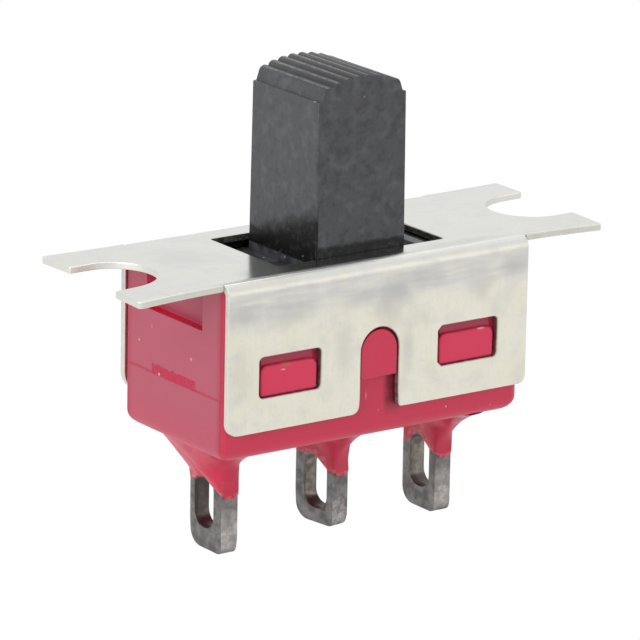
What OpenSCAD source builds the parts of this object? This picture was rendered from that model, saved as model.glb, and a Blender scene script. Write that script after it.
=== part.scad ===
// Miniature three-position slide switch with solder-lug terminals, in millimetres.
//
// The origin is the centre of the actuator opening, on the upper face of the bracket: the face that
// is screwed up against the back of a panel. The button slides along X, the terminals point down
// (-Z), and the bracket's two side walls face -Y and +Y. The button is modelled in its middle
// position, with the contact rocker level and both circuits open.

/* [Bracket] */
// Length over the tips of the two mounting ears
bracket_l = 19.86; // [17.5:0.01:24]
// Width over the outsides of the two side walls
bracket_w = 6.84; // [6.4:0.01:8.5]
// Thickness of the sheet
sheet_t = 0.25; // [0.15:0.01:0.35]
// Outer radius of the two long bends
bend_r = 0.45; // [0.4:0.01:0.8]
// Depth of the side walls below the upper face
wall_h = 5.5; // [5:0.1:6]
// Radius of the lower corners of the side walls
wall_corner_r = 0.4; // [0.1:0.05:0.8]
// How much each ear is narrower than the walls, on each side
ear_inset = 0.24; // [0.1:0.01:0.4]
// Width of the relief nick where an ear leaves the bends
relief_w = 0.18; // [0.1:0.01:0.4]
// Depth of the relief nick, which reaches in past the bend
relief_d = 0.25; // [0.22:0.01:0.5]

/* [Screw slots] */
// Width of the open-ended slot in each ear
slot_w = 3.2; // [2.2:0.1:3.8]
// Depth of each slot, from the ear's tip to the bottom of its round end
slot_depth = 2.43; // [2:0.01:3]

/* [Actuator opening] */
// Corner radius of the opening
opening_r = 0.12; // [0.05:0.01:0.4]

/* [Latch windows] */
// Distance of each window's centre from the middle of the switch
window_x = 3.86; // [3:0.01:4.2]
// Width of each window
window_w = 2.63; // [1.8:0.01:3]
// Height of each window
window_h = 1.5; // [1:0.05:1.7]
// Depth of the windows' upper edge below the upper face
window_top = 2.78; // [2.4:0.01:3]
// Corner radius of the windows
window_r = 0.17; // [0.05:0.01:0.4]
// Width of the middle arch-topped slot
arch_w = 1.66; // [1.2:0.01:2]
// Depth of the arch's crown below the upper face
arch_top = 2.42; // [2:0.01:3]

/* [Case] */
// Depth of the case's underside below the bracket's upper face
case_bottom = 6.58; // [6.3:0.01:8]
// Radius of the case's upright edges
case_side_r = 0.17; // [0.05:0.01:0.3]
// Radius of the case's lower edges
case_low_r = 0.28; // [0.05:0.01:0.45]
// Wall of the case between each screw relief and the button's chamber
end_wall = 0.55; // [0.3:0.01:0.8]
// Depth of the upper chamber's ledge below the upper face
ledge_z = 1.95; // [1.8:0.01:2.2]
// Depth of the recess under the case that holds the seal
seal_recess = 0.45; // [0.3:0.05:0.8]
// Rim of the case around the seal
seal_rim = 0.7; // [0.5:0.05:1]
// Depth of the screw relief below the upper face
pocket_z = 2; // [1.2:0.1:2.6]
// Depth of the screw relief into the end face
pocket_d = 0.4; // [0.2:0.05:0.5]
// How far the four latches stay in behind the bracket's outer face
latch_inset = 0.07; // [0.02:0.01:0.15]
// Height of each latch's sloping lead-in
latch_lead = 0.37; // [0.2:0.01:0.6]
// Radius of the latches' upper corners
latch_r = 0.3; // [0.1:0.05:0.5]
// How far the arch-topped boss stays in behind the bracket's outer face
boss_inset = 0.04; // [0.02:0.01:0.15]

/* [Button] */
// Length of the button's post along X
post_l = 3.8; // [3.1:0.01:4.6]
// Width of the button's post
post_w = 4.1; // [3.4:0.01:4.95]
// Height of the post's crown above the bracket's upper face
post_h = 6.43; // [4:0.01:9]
// Depth of the post's shoulders below its crown
shoulder_drop = 0.79; // [0.5:0.01:1.2]
// Width of the flat on each shoulder
shoulder_w = 0.22; // [0.1:0.01:0.4]
// Slant of the cheeks between the shoulders and the crown
cheek_slant = 0.22; // [0.05:0.01:0.4]
// Radius of the arched crown
crown_r = 3.9; // [3:0.1:8]
// Draft of the post: how far each side leans out at the flange
post_draft = 0.03; // [0:0.01:0.1]
// Distance between two grip ribs
rib_pitch = 0.41; // [0.3:0.01:0.41]
// Number of grip ribs on the crown
rib_count = 8; // [4:1:8]
// Radius of each rounded rib
rib_r = 0.24; // [0.22:0.01:0.3]
// Length of the flange under the bracket
flange_l = 7.9; // [7.5:0.05:8.4]
// How far the flange reaches past the post on each side
flange_lip = 0.37; // [0.2:0.01:0.45]
// Thickness of the flange under the bracket
flange_t = 1.42; // [1:0.01:1.5]
// Depth of the dish in the flange's top around the post
dish_d = 0.27; // [0.1:0.01:0.4]
// Width of the flange's raised end strip with its slope
dish_rim = 0.75; // [0.5:0.05:1]
// Width of that strip's slope
dish_slope = 0.3; // [0.1:0.05:0.5]
// Travel of the button each way from its middle position
travel = 1.5; // [0.8:0.05:1.8]

/* [Spring and plunger] */
// Height of the bore's end above the upper face
bore_top = 3; // [2:0.1:4.5]
// Diameter of the plunger
plunger_d = 1.4; // [1.15:0.01:1.7]
// Length of the plunger, without its spigot
plunger_l = 2.5; // [2:0.1:3]
// Length of the spigot
spigot_l = 0.65; // [0.4:0.05:1]
// Diameter of the spring wire
wire_d = 0.18; // [0.12:0.01:0.24]
// Number of turns in the spring
spring_turns = 8; // [5:1:9]

/* [Contacts] */
// Distance between neighbouring terminals
terminal_pitch = 4.7; // [3.9:0.01:5.7]
// Width of a terminal blade along Y
blade_w = 2.04; // [1.6:0.01:2.3]
// Thickness of a terminal blade along X
blade_t = 0.66; // [0.5:0.01:0.8]
// Length of the end terminals below the case
end_blade_l = 4.19; // [3.9:0.01:7]
// Length of the centre terminal below the case
centre_blade_l = 3.97; // [3.9:0.01:7]
// Corner radius of the terminals' tips
tip_r = 0.6; // [0.2:0.05:0.9]
// Width of the eyelet in each terminal
eyelet_w = 1.18; // [0.7:0.01:1.25]
// Length of the eyelet
eyelet_l = 1.95; // [1.2:0.05:2.2]
// Corner radius of the eyelet
eyelet_r = 0.34; // [0.1:0.01:0.34]
// Distance from the case down to the eyelets' lower ends
eyelet_drop = 3.4; // [3:0.01:3.5]
// How far each contact pair stands in from its terminal
contact_inset = 0.5; // [0.4:0.01:0.9]
// Rim of an end terminal's flat head past its contact
head_rim = 0.12; // [0.05:0.01:0.3]
// Diameter of a fixed contact
fixed_contact_d = 1.5; // [1:0.05:1.6]
// Height of a fixed contact
fixed_contact_h = 0.35; // [0.2:0.01:0.4]
// Radius of a fixed contact's domed top
contact_dome_r = 2.5; // [1.5:0.1:4]
// Diameter of a moving contact
moving_contact_d = 1.3; // [0.9:0.05:1.5]
// Thickness of a moving contact
moving_contact_h = 0.3; // [0.2:0.01:0.4]
// Tilt of the rocker each way
tilt = 6; // [4:0.5:6]
// How far each rocker arm reaches past the middle of its contact
arm_over = 0.7; // [0.66:0.01:0.75]
// Thickness of the rocker's arms
arm_t = 0.4; // [0.3:0.01:0.5]
// Width of the rocker
rocker_w = 2.8; // [2:0.1:2.9]
// Height of the rocker's middle valley above its pivot
valley_h = 0.75; // [0.7:0.01:0.9]
// Length of the rocker's hub along X
hub_l = 1.9; // [1.5:0.1:2.2]
// How far the hub reaches below the pivot
hub_drop = 0.22; // [0.1:0.01:0.3]

/* [Clearances] */
// Gap between the case and each of the bracket's side walls
wall_gap = 0.07; // [0.03:0.01:0.12]
// Gap between the bracket and the top of the button's flange
flange_gap = 0.08; // [0.05:0.01:0.15]
// Gap on each side of the button's flange and post
side_gap = 0.05; // [0.03:0.01:0.1]
// Gap between the post and each end of the opening at the end of its travel
opening_gap = 0.17; // [0.05:0.01:0.4]
// Gap on each side of a screw where the case makes room for it
relief_gap = 0.15; // [0.05:0.01:0.25]
// Gap at each end of the flange at the end of its travel
end_gap = 0.1; // [0.05:0.01:0.3]
// Gap on each side of a latch in its window
latch_gap = 0.1; // [0.03:0.01:0.2]
// Gap around a terminal where it passes the floor
blade_gap = 0.04; // [0.02:0.01:0.08]
// Gap between an end terminal and the end of the lower chamber
head_gap = 0.32; // [0.1:0.01:0.5]
// Gap on each side of the rocker in the lower chamber
rocker_gap = 0.3; // [0.1:0.01:0.6]
// Gap between the rocker's raised end and the button
swing_gap = 0.11; // [0.08:0.01:0.3]
// Radial clearance of the plunger in the button's bore
bore_gap = 0.05; // [0.02:0.01:0.1]
// Gap around the spring in the bore
spring_gap = 0.1; // [0.05:0.01:0.15]
// Gap between the spring and the plunger's spigot
spigot_gap = 0.15; // [0.05:0.01:0.2]
// Radial clearance of the rocker on its pivot
pivot_gap = 0.05; // [0.02:0.01:0.08]
// Gap between two contacts that are closed
closed_gap = 0.03; // [0.02:0.01:0.05]
// Gap between the plunger's tip and the rocker, at half the button's travel
plunger_gap = 0.011; // [0.008:0.001:0.06]

/* [Seal] */
// Spread of the seal around a terminal, at the case's underside
seal_spread = 1; // [0.4:0.05:1.2]
// Skin of seal left on a terminal where it ends
seal_skin = 0.06; // [0.03:0.01:0.12]
// How far the seal climbs down each terminal
seal_climb = 1.75; // [1:0.05:1.9]

/* [Hidden] */
$fn = 48;
eps = 0.01;
far = 30;

// Lengths along X: the chambers set the case's length, and the case sets the walls'
cavity_l = flange_l + 2 * (travel + end_gap);
chamber_l = 2 * (terminal_pitch + blade_t / 2 + head_gap);
case_l = max(cavity_l, chamber_l) + 2 * (pocket_d + end_wall);
wall_l = case_l;

// Bracket
opening_l = post_l + 2 * (post_draft + travel + opening_gap);
opening_w = post_w + 2 * (post_draft + side_gap);
ear_w = bracket_w - 2 * ear_inset;
ear_corner_r = 0.15;
slot_r = slot_w / 2;
slot_x = bracket_l / 2 - slot_depth + slot_r;
window_z = -window_top - window_h / 2;
latch_seat_z = -window_top - window_h;

// Case
case_top = -sheet_t;
case_w = bracket_w - 2 * (sheet_t + wall_gap);
latch_out = wall_gap + sheet_t - latch_inset;
boss_out = wall_gap + sheet_t - boss_inset;
chamber_w = rocker_w + 2 * rocker_gap;
chamber_r = 0.2;
cavity_w = post_w + 2 * (post_draft + flange_lip + side_gap);
case_wall = (case_w - cavity_w) / 2;
pocket_w = slot_w + 2 * relief_gap;
recess_l = case_l - 2 * seal_rim;
recess_w = case_w - 2 * seal_rim;
recess_r = 0.4;
boss_w = arch_w - 2 * side_gap;
boss_top = -arch_top - 2 * side_gap;

// Button
flange_top = -sheet_t - flange_gap;
flange_w = cavity_w - 2 * side_gap;
flange_bottom = flange_top - flange_t;
base_l = post_l + 2 * post_draft;
base_w = post_w + 2 * post_draft;
shoulder_z = post_h - shoulder_drop;
crown_centre = post_h - crown_r;
rib_angle = rib_pitch / (crown_r - rib_r) * 180 / PI;
rib_depth = rib_r - sqrt(rib_r * rib_r - rib_pitch * rib_pitch / 4);

// Contacts: the pivot hangs below the button by the rise of the rocker's raised end, and the end
// terminals' heads lie below it by the closed contacts' stack
contact_x = terminal_pitch - contact_inset;
arm_l = contact_x + arm_over;
arm_top = valley_h * cos(tilt);
pivot_z = flange_bottom - swing_gap - arm_l * sin(2 * tilt) - arm_top * cos(2 * tilt);
fixed_top = pivot_z + arm_top - arm_t - moving_contact_h - closed_gap;
head_top = fixed_top - fixed_contact_h;
floor_z = blade_t - head_top;
head_l = contact_inset + (blade_t + fixed_contact_d) / 2 + head_rim;
end_tip_z = case_bottom + end_blade_l;
centre_tip_z = case_bottom + centre_blade_l;
eyelet_z = case_bottom + eyelet_drop;
pivot_r = blade_t / 2;
groove_r = pivot_r + pivot_gap;

// Plunger and spring
bore_d = plunger_d + 2 * bore_gap;
spring_d = bore_d - 2 * spring_gap;
spigot_d = spring_d - 2 * (wire_d + spigot_gap);
plunger_tip = pivot_z + valley_h + travel / 2 * tan(tilt / 2) + plunger_gap;
plunger_shoulder = plunger_tip + plunger_l;
spring_r = (spring_d - wire_d) / 2;
spring_bottom = plunger_shoulder + wire_d / 2;
spring_top = bore_top - wire_d / 2;
spring_steps = 16;
spring_sides = 8;

// Seal: depth and spread of each step of its fillet, as shares of the climb and the spread
seal_steps = [[0, 1], [0.1, 0.66], [0.25, 0.38], [0.5, 0.16], [1, 0]];

// ---------------------------------------------------------------- shared shapes

// A rectangle on the origin with round corners
module round_rect(length, width, r) {
    square([length - 2 * r, width], center = true);
    square([length, width - 2 * r], center = true);
    for (x = [-1, 1], y = [-1, 1])
        translate([x * (length / 2 - r), y * (width / 2 - r)]) circle(r);
}

// An upright plate of the outline given in (X, Z), centred on y = 0
module side_on(thickness) {
    rotate([90, 0, 0]) linear_extrude(thickness, center = true) children();
}

// A bar along X of the outline given in (Y, Z), centred on x = 0
module end_on(length) {
    rotate([90, 0, 90]) linear_extrude(length, center = true) children();
}

// A slab with round upright corners, from z_low up to z_high
module slab(length, width, r, z_low, z_high) {
    translate([0, 0, z_low]) linear_extrude(z_high - z_low) round_rect(length, width, r);
}

// The outline in (X, Z) of a slot with an arched top, from crown down to bottom
module arch(width, crown, bottom) {
    translate([0, crown - width / 2]) circle(width / 2);
    translate([-width / 2, bottom]) square([width, crown - width / 2 - bottom]);
}

// ---------------------------------------------------------------- bracket

// The channel's section in (Y, Z): a flat top, two bends and two walls
module channel_section() {
    difference() {
        channel_outline(bracket_w, bend_r, 0, wall_h);
        channel_outline(bracket_w - 2 * sheet_t, bend_r - sheet_t, -sheet_t, wall_h + 1);
    }
}

// A section with round upper corners and square lower ones
module channel_outline(width, r, top, depth) {
    translate([-width / 2, -depth]) square([width, top + depth - r]);
    translate([-width / 2 + r, top - 2 * r]) square([width - 2 * r, 2 * r]);
    for (side = [-1, 1]) translate([side * (width / 2 - r), top - r]) circle(r);
}

// The outline in (X, Y) of both ears and the strip between them, which stays inside the bends
module ears_outline() {
    difference() {
        round_rect(bracket_l, ear_w, ear_corner_r);
        for (end = [-1, 1]) {
            translate([end * slot_x, 0]) circle(slot_r);
            translate([end * (slot_x + slot_w), 0]) square([2 * slot_w, slot_w], center = true);
        }
        for (side = [-1, 1]) translate([0, side * ear_w / 2])
            square([wall_l + 2 * relief_w, 2 * relief_d], center = true);
    }
}

// The sheet-steel bracket: a folded channel with two slotted ears
module bracket() color([0.85, 0.85, 0.82]) difference() {
    union() {
        intersection() {
            end_on(wall_l) channel_section();
            side_on(bracket_w + 1) translate([0, wall_h / 2])
                round_rect(wall_l, 3 * wall_h, wall_corner_r);
        }
        translate([0, 0, -sheet_t]) linear_extrude(sheet_t) ears_outline();
    }
    slab(opening_l, opening_w, opening_r, -sheet_t - eps, eps);
    side_on(far) {
        for (side = [-1, 1])
            translate([side * window_x, window_z]) round_rect(window_w, window_h, window_r);
        arch(arch_w, -arch_top, -wall_h - 1);
    }
}

// ---------------------------------------------------------------- case

// The case's outer block: round upright and lower edges, and upper edges that clear the bends
module case_block() {
    height = case_bottom + case_top;
    intersection() {
        slab(case_l, case_w, case_side_r, -case_bottom, case_top);
        side_on(case_w + 1) translate([0, case_top]) round_rect(case_l, 2 * height, case_low_r);
        end_on(case_l + 1) translate([0, case_top]) round_rect(case_w, 2 * height, case_low_r);
        end_on(case_l + 1) channel_outline(case_w, bend_r - sheet_t, case_top, case_bottom);
    }
}

// One latch on the +Y face: a sloping lead-in above a square face that seats on the window's edge
module latch() {
    latch_w = window_w - 2 * latch_gap;
    face_y = case_w / 2;
    face_h = window_h - latch_lead;
    intersection() {
        translate([0, 0, latch_seat_z]) end_on(latch_w) polygon([
            [face_y - case_wall / 2, 0], [face_y + latch_out, 0], [face_y + latch_out, face_h],
            [face_y, face_h + latch_lead], [face_y - case_wall / 2, face_h + latch_lead]
        ]);
        translate([0, 0, latch_seat_z]) side_on(far)
            round_rect(latch_w, 2 * (face_h + latch_lead), latch_r);
        side_on(far) translate([0, window_z]) round_rect(latch_w, window_h, window_r);
    }
}

// The arch-topped boss on the +Y face, which stands in the bracket's middle slot
module boss() {
    translate([0, case_w / 2 + boss_out, 0]) rotate([90, 0, 0])
        linear_extrude(boss_out + case_wall / 2) arch(boss_w, boss_top, latch_seat_z);
}

// The moulded case, open at the top and latched into the bracket's windows
module case() color([0.75, 0.2, 0.3]) {
    difference() {
        case_block();
        slab(cavity_l, cavity_w, chamber_r, -ledge_z, 0);
        slab(chamber_l, chamber_w, chamber_r, -floor_z, 0);
        slab(recess_l, recess_w, recess_r, -case_bottom - eps, -case_bottom + seal_recess);
        for (place = [-1, 0, 1]) translate([place * terminal_pitch, 0, -case_bottom])
            linear_extrude(case_bottom - floor_z + eps)
                square([blade_t + 2 * blade_gap, blade_w + 2 * blade_gap], center = true);
        for (end = [-1, 1]) translate([end * case_l / 2, 0, 0])
            slab(2 * pocket_d, pocket_w, pocket_d / 4, -pocket_z, 0);
    }
    for (side = [0, 1]) mirror([0, side, 0]) {
        for (end = [-1, 1]) translate([end * window_x, 0, 0]) latch();
        boss();
    }
}

// ---------------------------------------------------------------- button, spring and plunger

// The post's outline in (X, Z): shoulders, slanting cheeks and an arched crown with rounded ribs
module post_outline() {
    cheek_x = post_l / 2 - shoulder_w;
    intersection() {
        union() {
            translate([0, crown_centre]) circle(crown_r - rib_depth);
            for (i = [0 : rib_count - 1])
                translate([0, crown_centre]) rotate(rib_angle * (i - (rib_count - 1) / 2))
                    translate([0, crown_r - rib_r]) circle(rib_r);
        }
        polygon([
            [-base_l / 2, flange_bottom], [base_l / 2, flange_bottom], [post_l / 2, shoulder_z],
            [cheek_x, shoulder_z], [cheek_x - cheek_slant, post_h], [-cheek_x + cheek_slant, post_h],
            [-cheek_x, shoulder_z], [-post_l / 2, shoulder_z]
        ]);
    }
}

// The flange's outline in (X, Z), dished around the post
module flange_outline() {
    half = flange_l / 2;
    polygon([
        [-half, flange_bottom], [half, flange_bottom], [half, flange_top],
        [half - dish_rim + dish_slope, flange_top], [half - dish_rim, flange_top - dish_d],
        [-half + dish_rim, flange_top - dish_d], [-half + dish_rim - dish_slope, flange_top],
        [-half, flange_top]
    ]);
}

// The moulded button, with a blind bore for the spring and plunger
module slide_button() color([0.2, 0.2, 0.21]) difference() {
    union() {
        intersection() {
            side_on(base_w) post_outline();
            end_on(base_l) polygon([
                [-base_w / 2, flange_bottom], [base_w / 2, flange_bottom],
                [post_w / 2, shoulder_z], [post_w / 2, post_h],
                [-post_w / 2, post_h], [-post_w / 2, shoulder_z]
            ]);
        }
        intersection() {
            side_on(flange_w) flange_outline();
            slab(flange_l, flange_w, chamber_r, flange_bottom, flange_top);
        }
    }
    translate([0, 0, flange_bottom - eps]) cylinder(d = bore_d, h = bore_top - flange_bottom + eps);
}

// The plunger that presses on the rocker: a round-nosed pin with a spigot for the spring
module plunger() color([0.9, 0.88, 0.8]) rotate_extrude() {
    r = plunger_d / 2;
    intersection() {
        translate([0, plunger_tip + r]) circle(r);
        translate([0, plunger_tip]) square([r, r]);
    }
    translate([0, plunger_tip + r]) square([r, plunger_shoulder - plunger_tip - r]);
    translate([0, plunger_shoulder - eps]) square([spigot_d / 2, spigot_l + eps]);
}

// A point on the wire's skin: turn along the helix, and angle around the wire
function wire_point(turn, around) =
    let (reach = spring_r + wire_d / 2 * cos(around),
         rise = (spring_top - spring_bottom) * turn / spring_turns)
    [reach * cos(360 * turn), reach * sin(360 * turn), spring_bottom + rise + wire_d / 2 * sin(around)];

// The coil spring between the plunger's shoulder and the end of the bore
module actuator_spring() {
    rings = spring_turns * spring_steps;
    points = [
        for (i = [0 : rings], k = [0 : spring_sides - 1])
            wire_point(i / spring_steps, 360 * k / spring_sides)
    ];
    skin = [
        for (i = [0 : rings - 1], k = [0 : spring_sides - 1])
            let (next = (k + 1) % spring_sides, a = i * spring_sides, b = a + spring_sides)
            [a + k, a + next, b + next, b + k]
    ];
    start_cap = [for (k = [0 : spring_sides - 1]) spring_sides - 1 - k];
    end_cap = [for (k = [0 : spring_sides - 1]) rings * spring_sides + k];
    color([0.7, 0.7, 0.72]) polyhedron(points, concat(skin, [start_cap, end_cap]), convexity = 10);
}

// ---------------------------------------------------------------- rocker and contacts

// Puts a right-hand arm's part, drawn about the pivot with its arm level, on the resting rocker
module on_arm(side) {
    translate([0, 0, pivot_z]) mirror([side < 0 ? 1 : 0, 0, 0]) rotate([0, -tilt, 0]) children();
}

// The see-saw that joins the centre terminal to one end terminal or the other
module contact_rocker() color([0.8, 0.6, 0.35]) difference() {
    union() {
        for (side = [-1, 1]) on_arm(side) translate([0, -rocker_w / 2, arm_top - arm_t])
            cube([arm_l, rocker_w, arm_t]);
        translate([-hub_l / 2, -rocker_w / 2, pivot_z - hub_drop])
            cube([hub_l, rocker_w, hub_drop + valley_h - arm_t / 2]);
    }
    translate([0, 0, pivot_z]) rotate([90, 0, 0]) cylinder(r = groove_r, h = far, center = true);
    translate([-groove_r, -far / 2, pivot_z - far]) cube([2 * groove_r, far, far]);
}

// A flat contact under one arm of the rocker
module moving_contact(side) color([0.88, 0.88, 0.86])
    on_arm(side) translate([contact_x, 0, arm_top - arm_t - moving_contact_h])
        cylinder(d = moving_contact_d, h = moving_contact_h);

// A domed contact on the head of one end terminal
module fixed_contact(side) color([0.88, 0.88, 0.86])
    translate([side * contact_x, 0, 0]) rotate_extrude() intersection() {
        translate([0, fixed_top - contact_dome_r]) circle(contact_dome_r);
        translate([0, head_top]) square([fixed_contact_d / 2, fixed_contact_h]);
    }

// ---------------------------------------------------------------- terminals and seal

// A terminal's blade in (Y, Z), with its eyelet, from its tip at depth tip_z up to top
module blade_outline(tip_z, top) {
    difference() {
        union() {
            translate([0, -tip_z + blade_w / 2]) round_rect(blade_w, blade_w, tip_r);
            translate([-blade_w / 2, -tip_z + tip_r]) square([blade_w, top + tip_z - tip_r]);
        }
        translate([0, -eyelet_z + eyelet_l / 2]) round_rect(eyelet_w, eyelet_l, eyelet_r);
    }
}

// One end terminal: a blade whose top is folded flat on the floor, under its contact
module end_terminal(side) color([0.45, 0.44, 0.42]) {
    translate([side * terminal_pitch, 0, 0]) end_on(blade_t)
        blade_outline(end_tip_z, head_top);
    outer_x = terminal_pitch + blade_t / 2;
    translate([side * (outer_x - head_l / 2), 0, head_top - blade_t / 2])
        cube([head_l, blade_w, blade_t], center = true);
}

// The centre terminal, whose rounded top edge is the rocker's pivot
module centre_terminal() color([0.45, 0.44, 0.42]) {
    end_on(blade_t) blade_outline(centre_tip_z, pivot_z);
    translate([0, 0, pivot_z]) rotate([90, 0, 0]) cylinder(r = pivot_r, h = blade_w, center = true);
}

// A thin slice of the seal around a terminal
module seal_slice(step) {
    spread = seal_skin + step[1] * (seal_spread - seal_skin);
    translate([0, 0, -case_bottom - step[0] * seal_climb - eps])
        linear_extrude(eps) round_rect(blade_t + 2 * spread, blade_w + 2 * spread, spread);
}

// The potted seal under the case, drawn down each terminal in a concave fillet
module epoxy_seal() color([0.75, 0.2, 0.3]) difference() {
    union() {
        slab(recess_l, recess_w, recess_r, -case_bottom, -case_bottom + seal_recess);
        for (place = [-1, 0, 1]) translate([place * terminal_pitch, 0, 0])
            for (i = [0 : len(seal_steps) - 2]) hull() {
                seal_slice(seal_steps[i]);
                seal_slice(seal_steps[i + 1]);
            }
    }
    for (place = [-1, 0, 1]) translate([place * terminal_pitch, 0, 0])
        end_on(blade_t) blade_outline(place == 0 ? centre_tip_z : end_tip_z, 0);
}

bracket();
case();
slide_button();
actuator_spring();
plunger();
contact_rocker();
moving_contact(-1);  // moving_contact_left
moving_contact(1);  // moving_contact_right
fixed_contact(-1);  // fixed_contact_left
fixed_contact(1);  // fixed_contact_right
end_terminal(-1);  // end_terminal_left
centre_terminal();
end_terminal(1);  // end_terminal_right
epoxy_seal();
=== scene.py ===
"""Miniature slide switch: the visual model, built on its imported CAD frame.

The frame is in metres with +Z up. The origin is the centre of the actuator opening, on the upper
face of the bracket, and the camera looks at the front wall (-Y) and the left end (-X). Lengths in
this file are millimetres until a mesh is finished, which is when it is brought to metres.
"""

import logging
import math
from dataclasses import dataclass, field
from enum import Enum
from typing import Callable, ClassVar, Iterable, Sequence

import bmesh
import bpy
from mathutils import Matrix, Vector, noise

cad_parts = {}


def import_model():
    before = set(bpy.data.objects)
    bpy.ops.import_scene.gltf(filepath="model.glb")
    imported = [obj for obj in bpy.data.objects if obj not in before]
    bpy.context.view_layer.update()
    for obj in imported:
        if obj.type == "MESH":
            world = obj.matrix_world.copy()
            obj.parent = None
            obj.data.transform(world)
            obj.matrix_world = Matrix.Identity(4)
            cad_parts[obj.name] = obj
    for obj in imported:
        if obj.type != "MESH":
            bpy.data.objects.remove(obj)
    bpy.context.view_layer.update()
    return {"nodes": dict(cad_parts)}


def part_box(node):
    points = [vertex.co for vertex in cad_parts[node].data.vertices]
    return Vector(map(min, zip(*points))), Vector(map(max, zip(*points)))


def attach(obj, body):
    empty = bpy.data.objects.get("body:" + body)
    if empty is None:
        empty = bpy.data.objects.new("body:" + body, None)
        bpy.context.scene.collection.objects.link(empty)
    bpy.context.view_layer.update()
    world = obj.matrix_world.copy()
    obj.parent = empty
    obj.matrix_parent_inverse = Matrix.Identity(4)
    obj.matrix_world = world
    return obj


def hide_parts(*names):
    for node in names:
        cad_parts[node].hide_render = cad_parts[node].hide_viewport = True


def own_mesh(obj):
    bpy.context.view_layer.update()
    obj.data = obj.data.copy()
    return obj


LOG = logging.getLogger("slide_switch")
MM = 0.001
NEAR = 1e-3
"""Two heights or places closer than this count as one."""
LEVEL = 0.99
"""A face is square to an axis when its normal has this much along it."""
SHARP = 0.35
"""The angle in radians from which an edge is sharp enough to be rounded."""
SIDES = (-1, 1)
ORIGIN = (0.0, 0.0, 0.0)

Edge = bmesh.types.BMEdge
Face = bmesh.types.BMFace
Vert = bmesh.types.BMVert
Material = bpy.types.Material
Piece = bpy.types.Object
Socket = bpy.types.NodeSocket
Tree = bpy.types.NodeTree
Corner = tuple[float, float, float]
Pair = tuple[float, float]
Point = tuple[float, float, float]
Rgb = tuple[float, float, float]
EdgeTest = Callable[[Vector, Vector], bool]


# ------------------------------------------------------------------ shapes


@dataclass(frozen=True)
class Box:
    """The lowest and highest corners of a CAD node, in millimetres."""

    lo: Vector
    hi: Vector

    @classmethod
    def of(cls, node: str) -> "Box":
        """Measures a node of the frame."""
        return cls(*(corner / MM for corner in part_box(node)))


class Axis(Enum):
    """The axis that a cut goes across."""

    X = (1.0, 0.0, 0.0)
    Y = (0.0, 1.0, 0.0)
    Z = (0.0, 0.0, 1.0)


def made(result: dict, kind: type) -> list:
    """Picks the vertices, edges or faces out of an operator's result."""
    return [item for item in result["geom"] if isinstance(item, kind)]


def within(value: float) -> float:
    """Limits a number to the range from 0 to 1."""
    return max(0.0, min(1.0, value))


def above(z: float) -> EdgeTest:
    """Makes a test for edges that lie above a height."""
    return lambda a, b: min(a.z, b.z) > z


def below(z: float) -> EdgeTest:
    """Makes a test for edges that lie below a height."""
    return lambda a, b: max(a.z, b.z) < z


def upright(a: Vector, b: Vector) -> bool:
    """Says whether an edge stands upright."""
    return abs(a.x - b.x) < NEAR and abs(a.y - b.y) < NEAR


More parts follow.
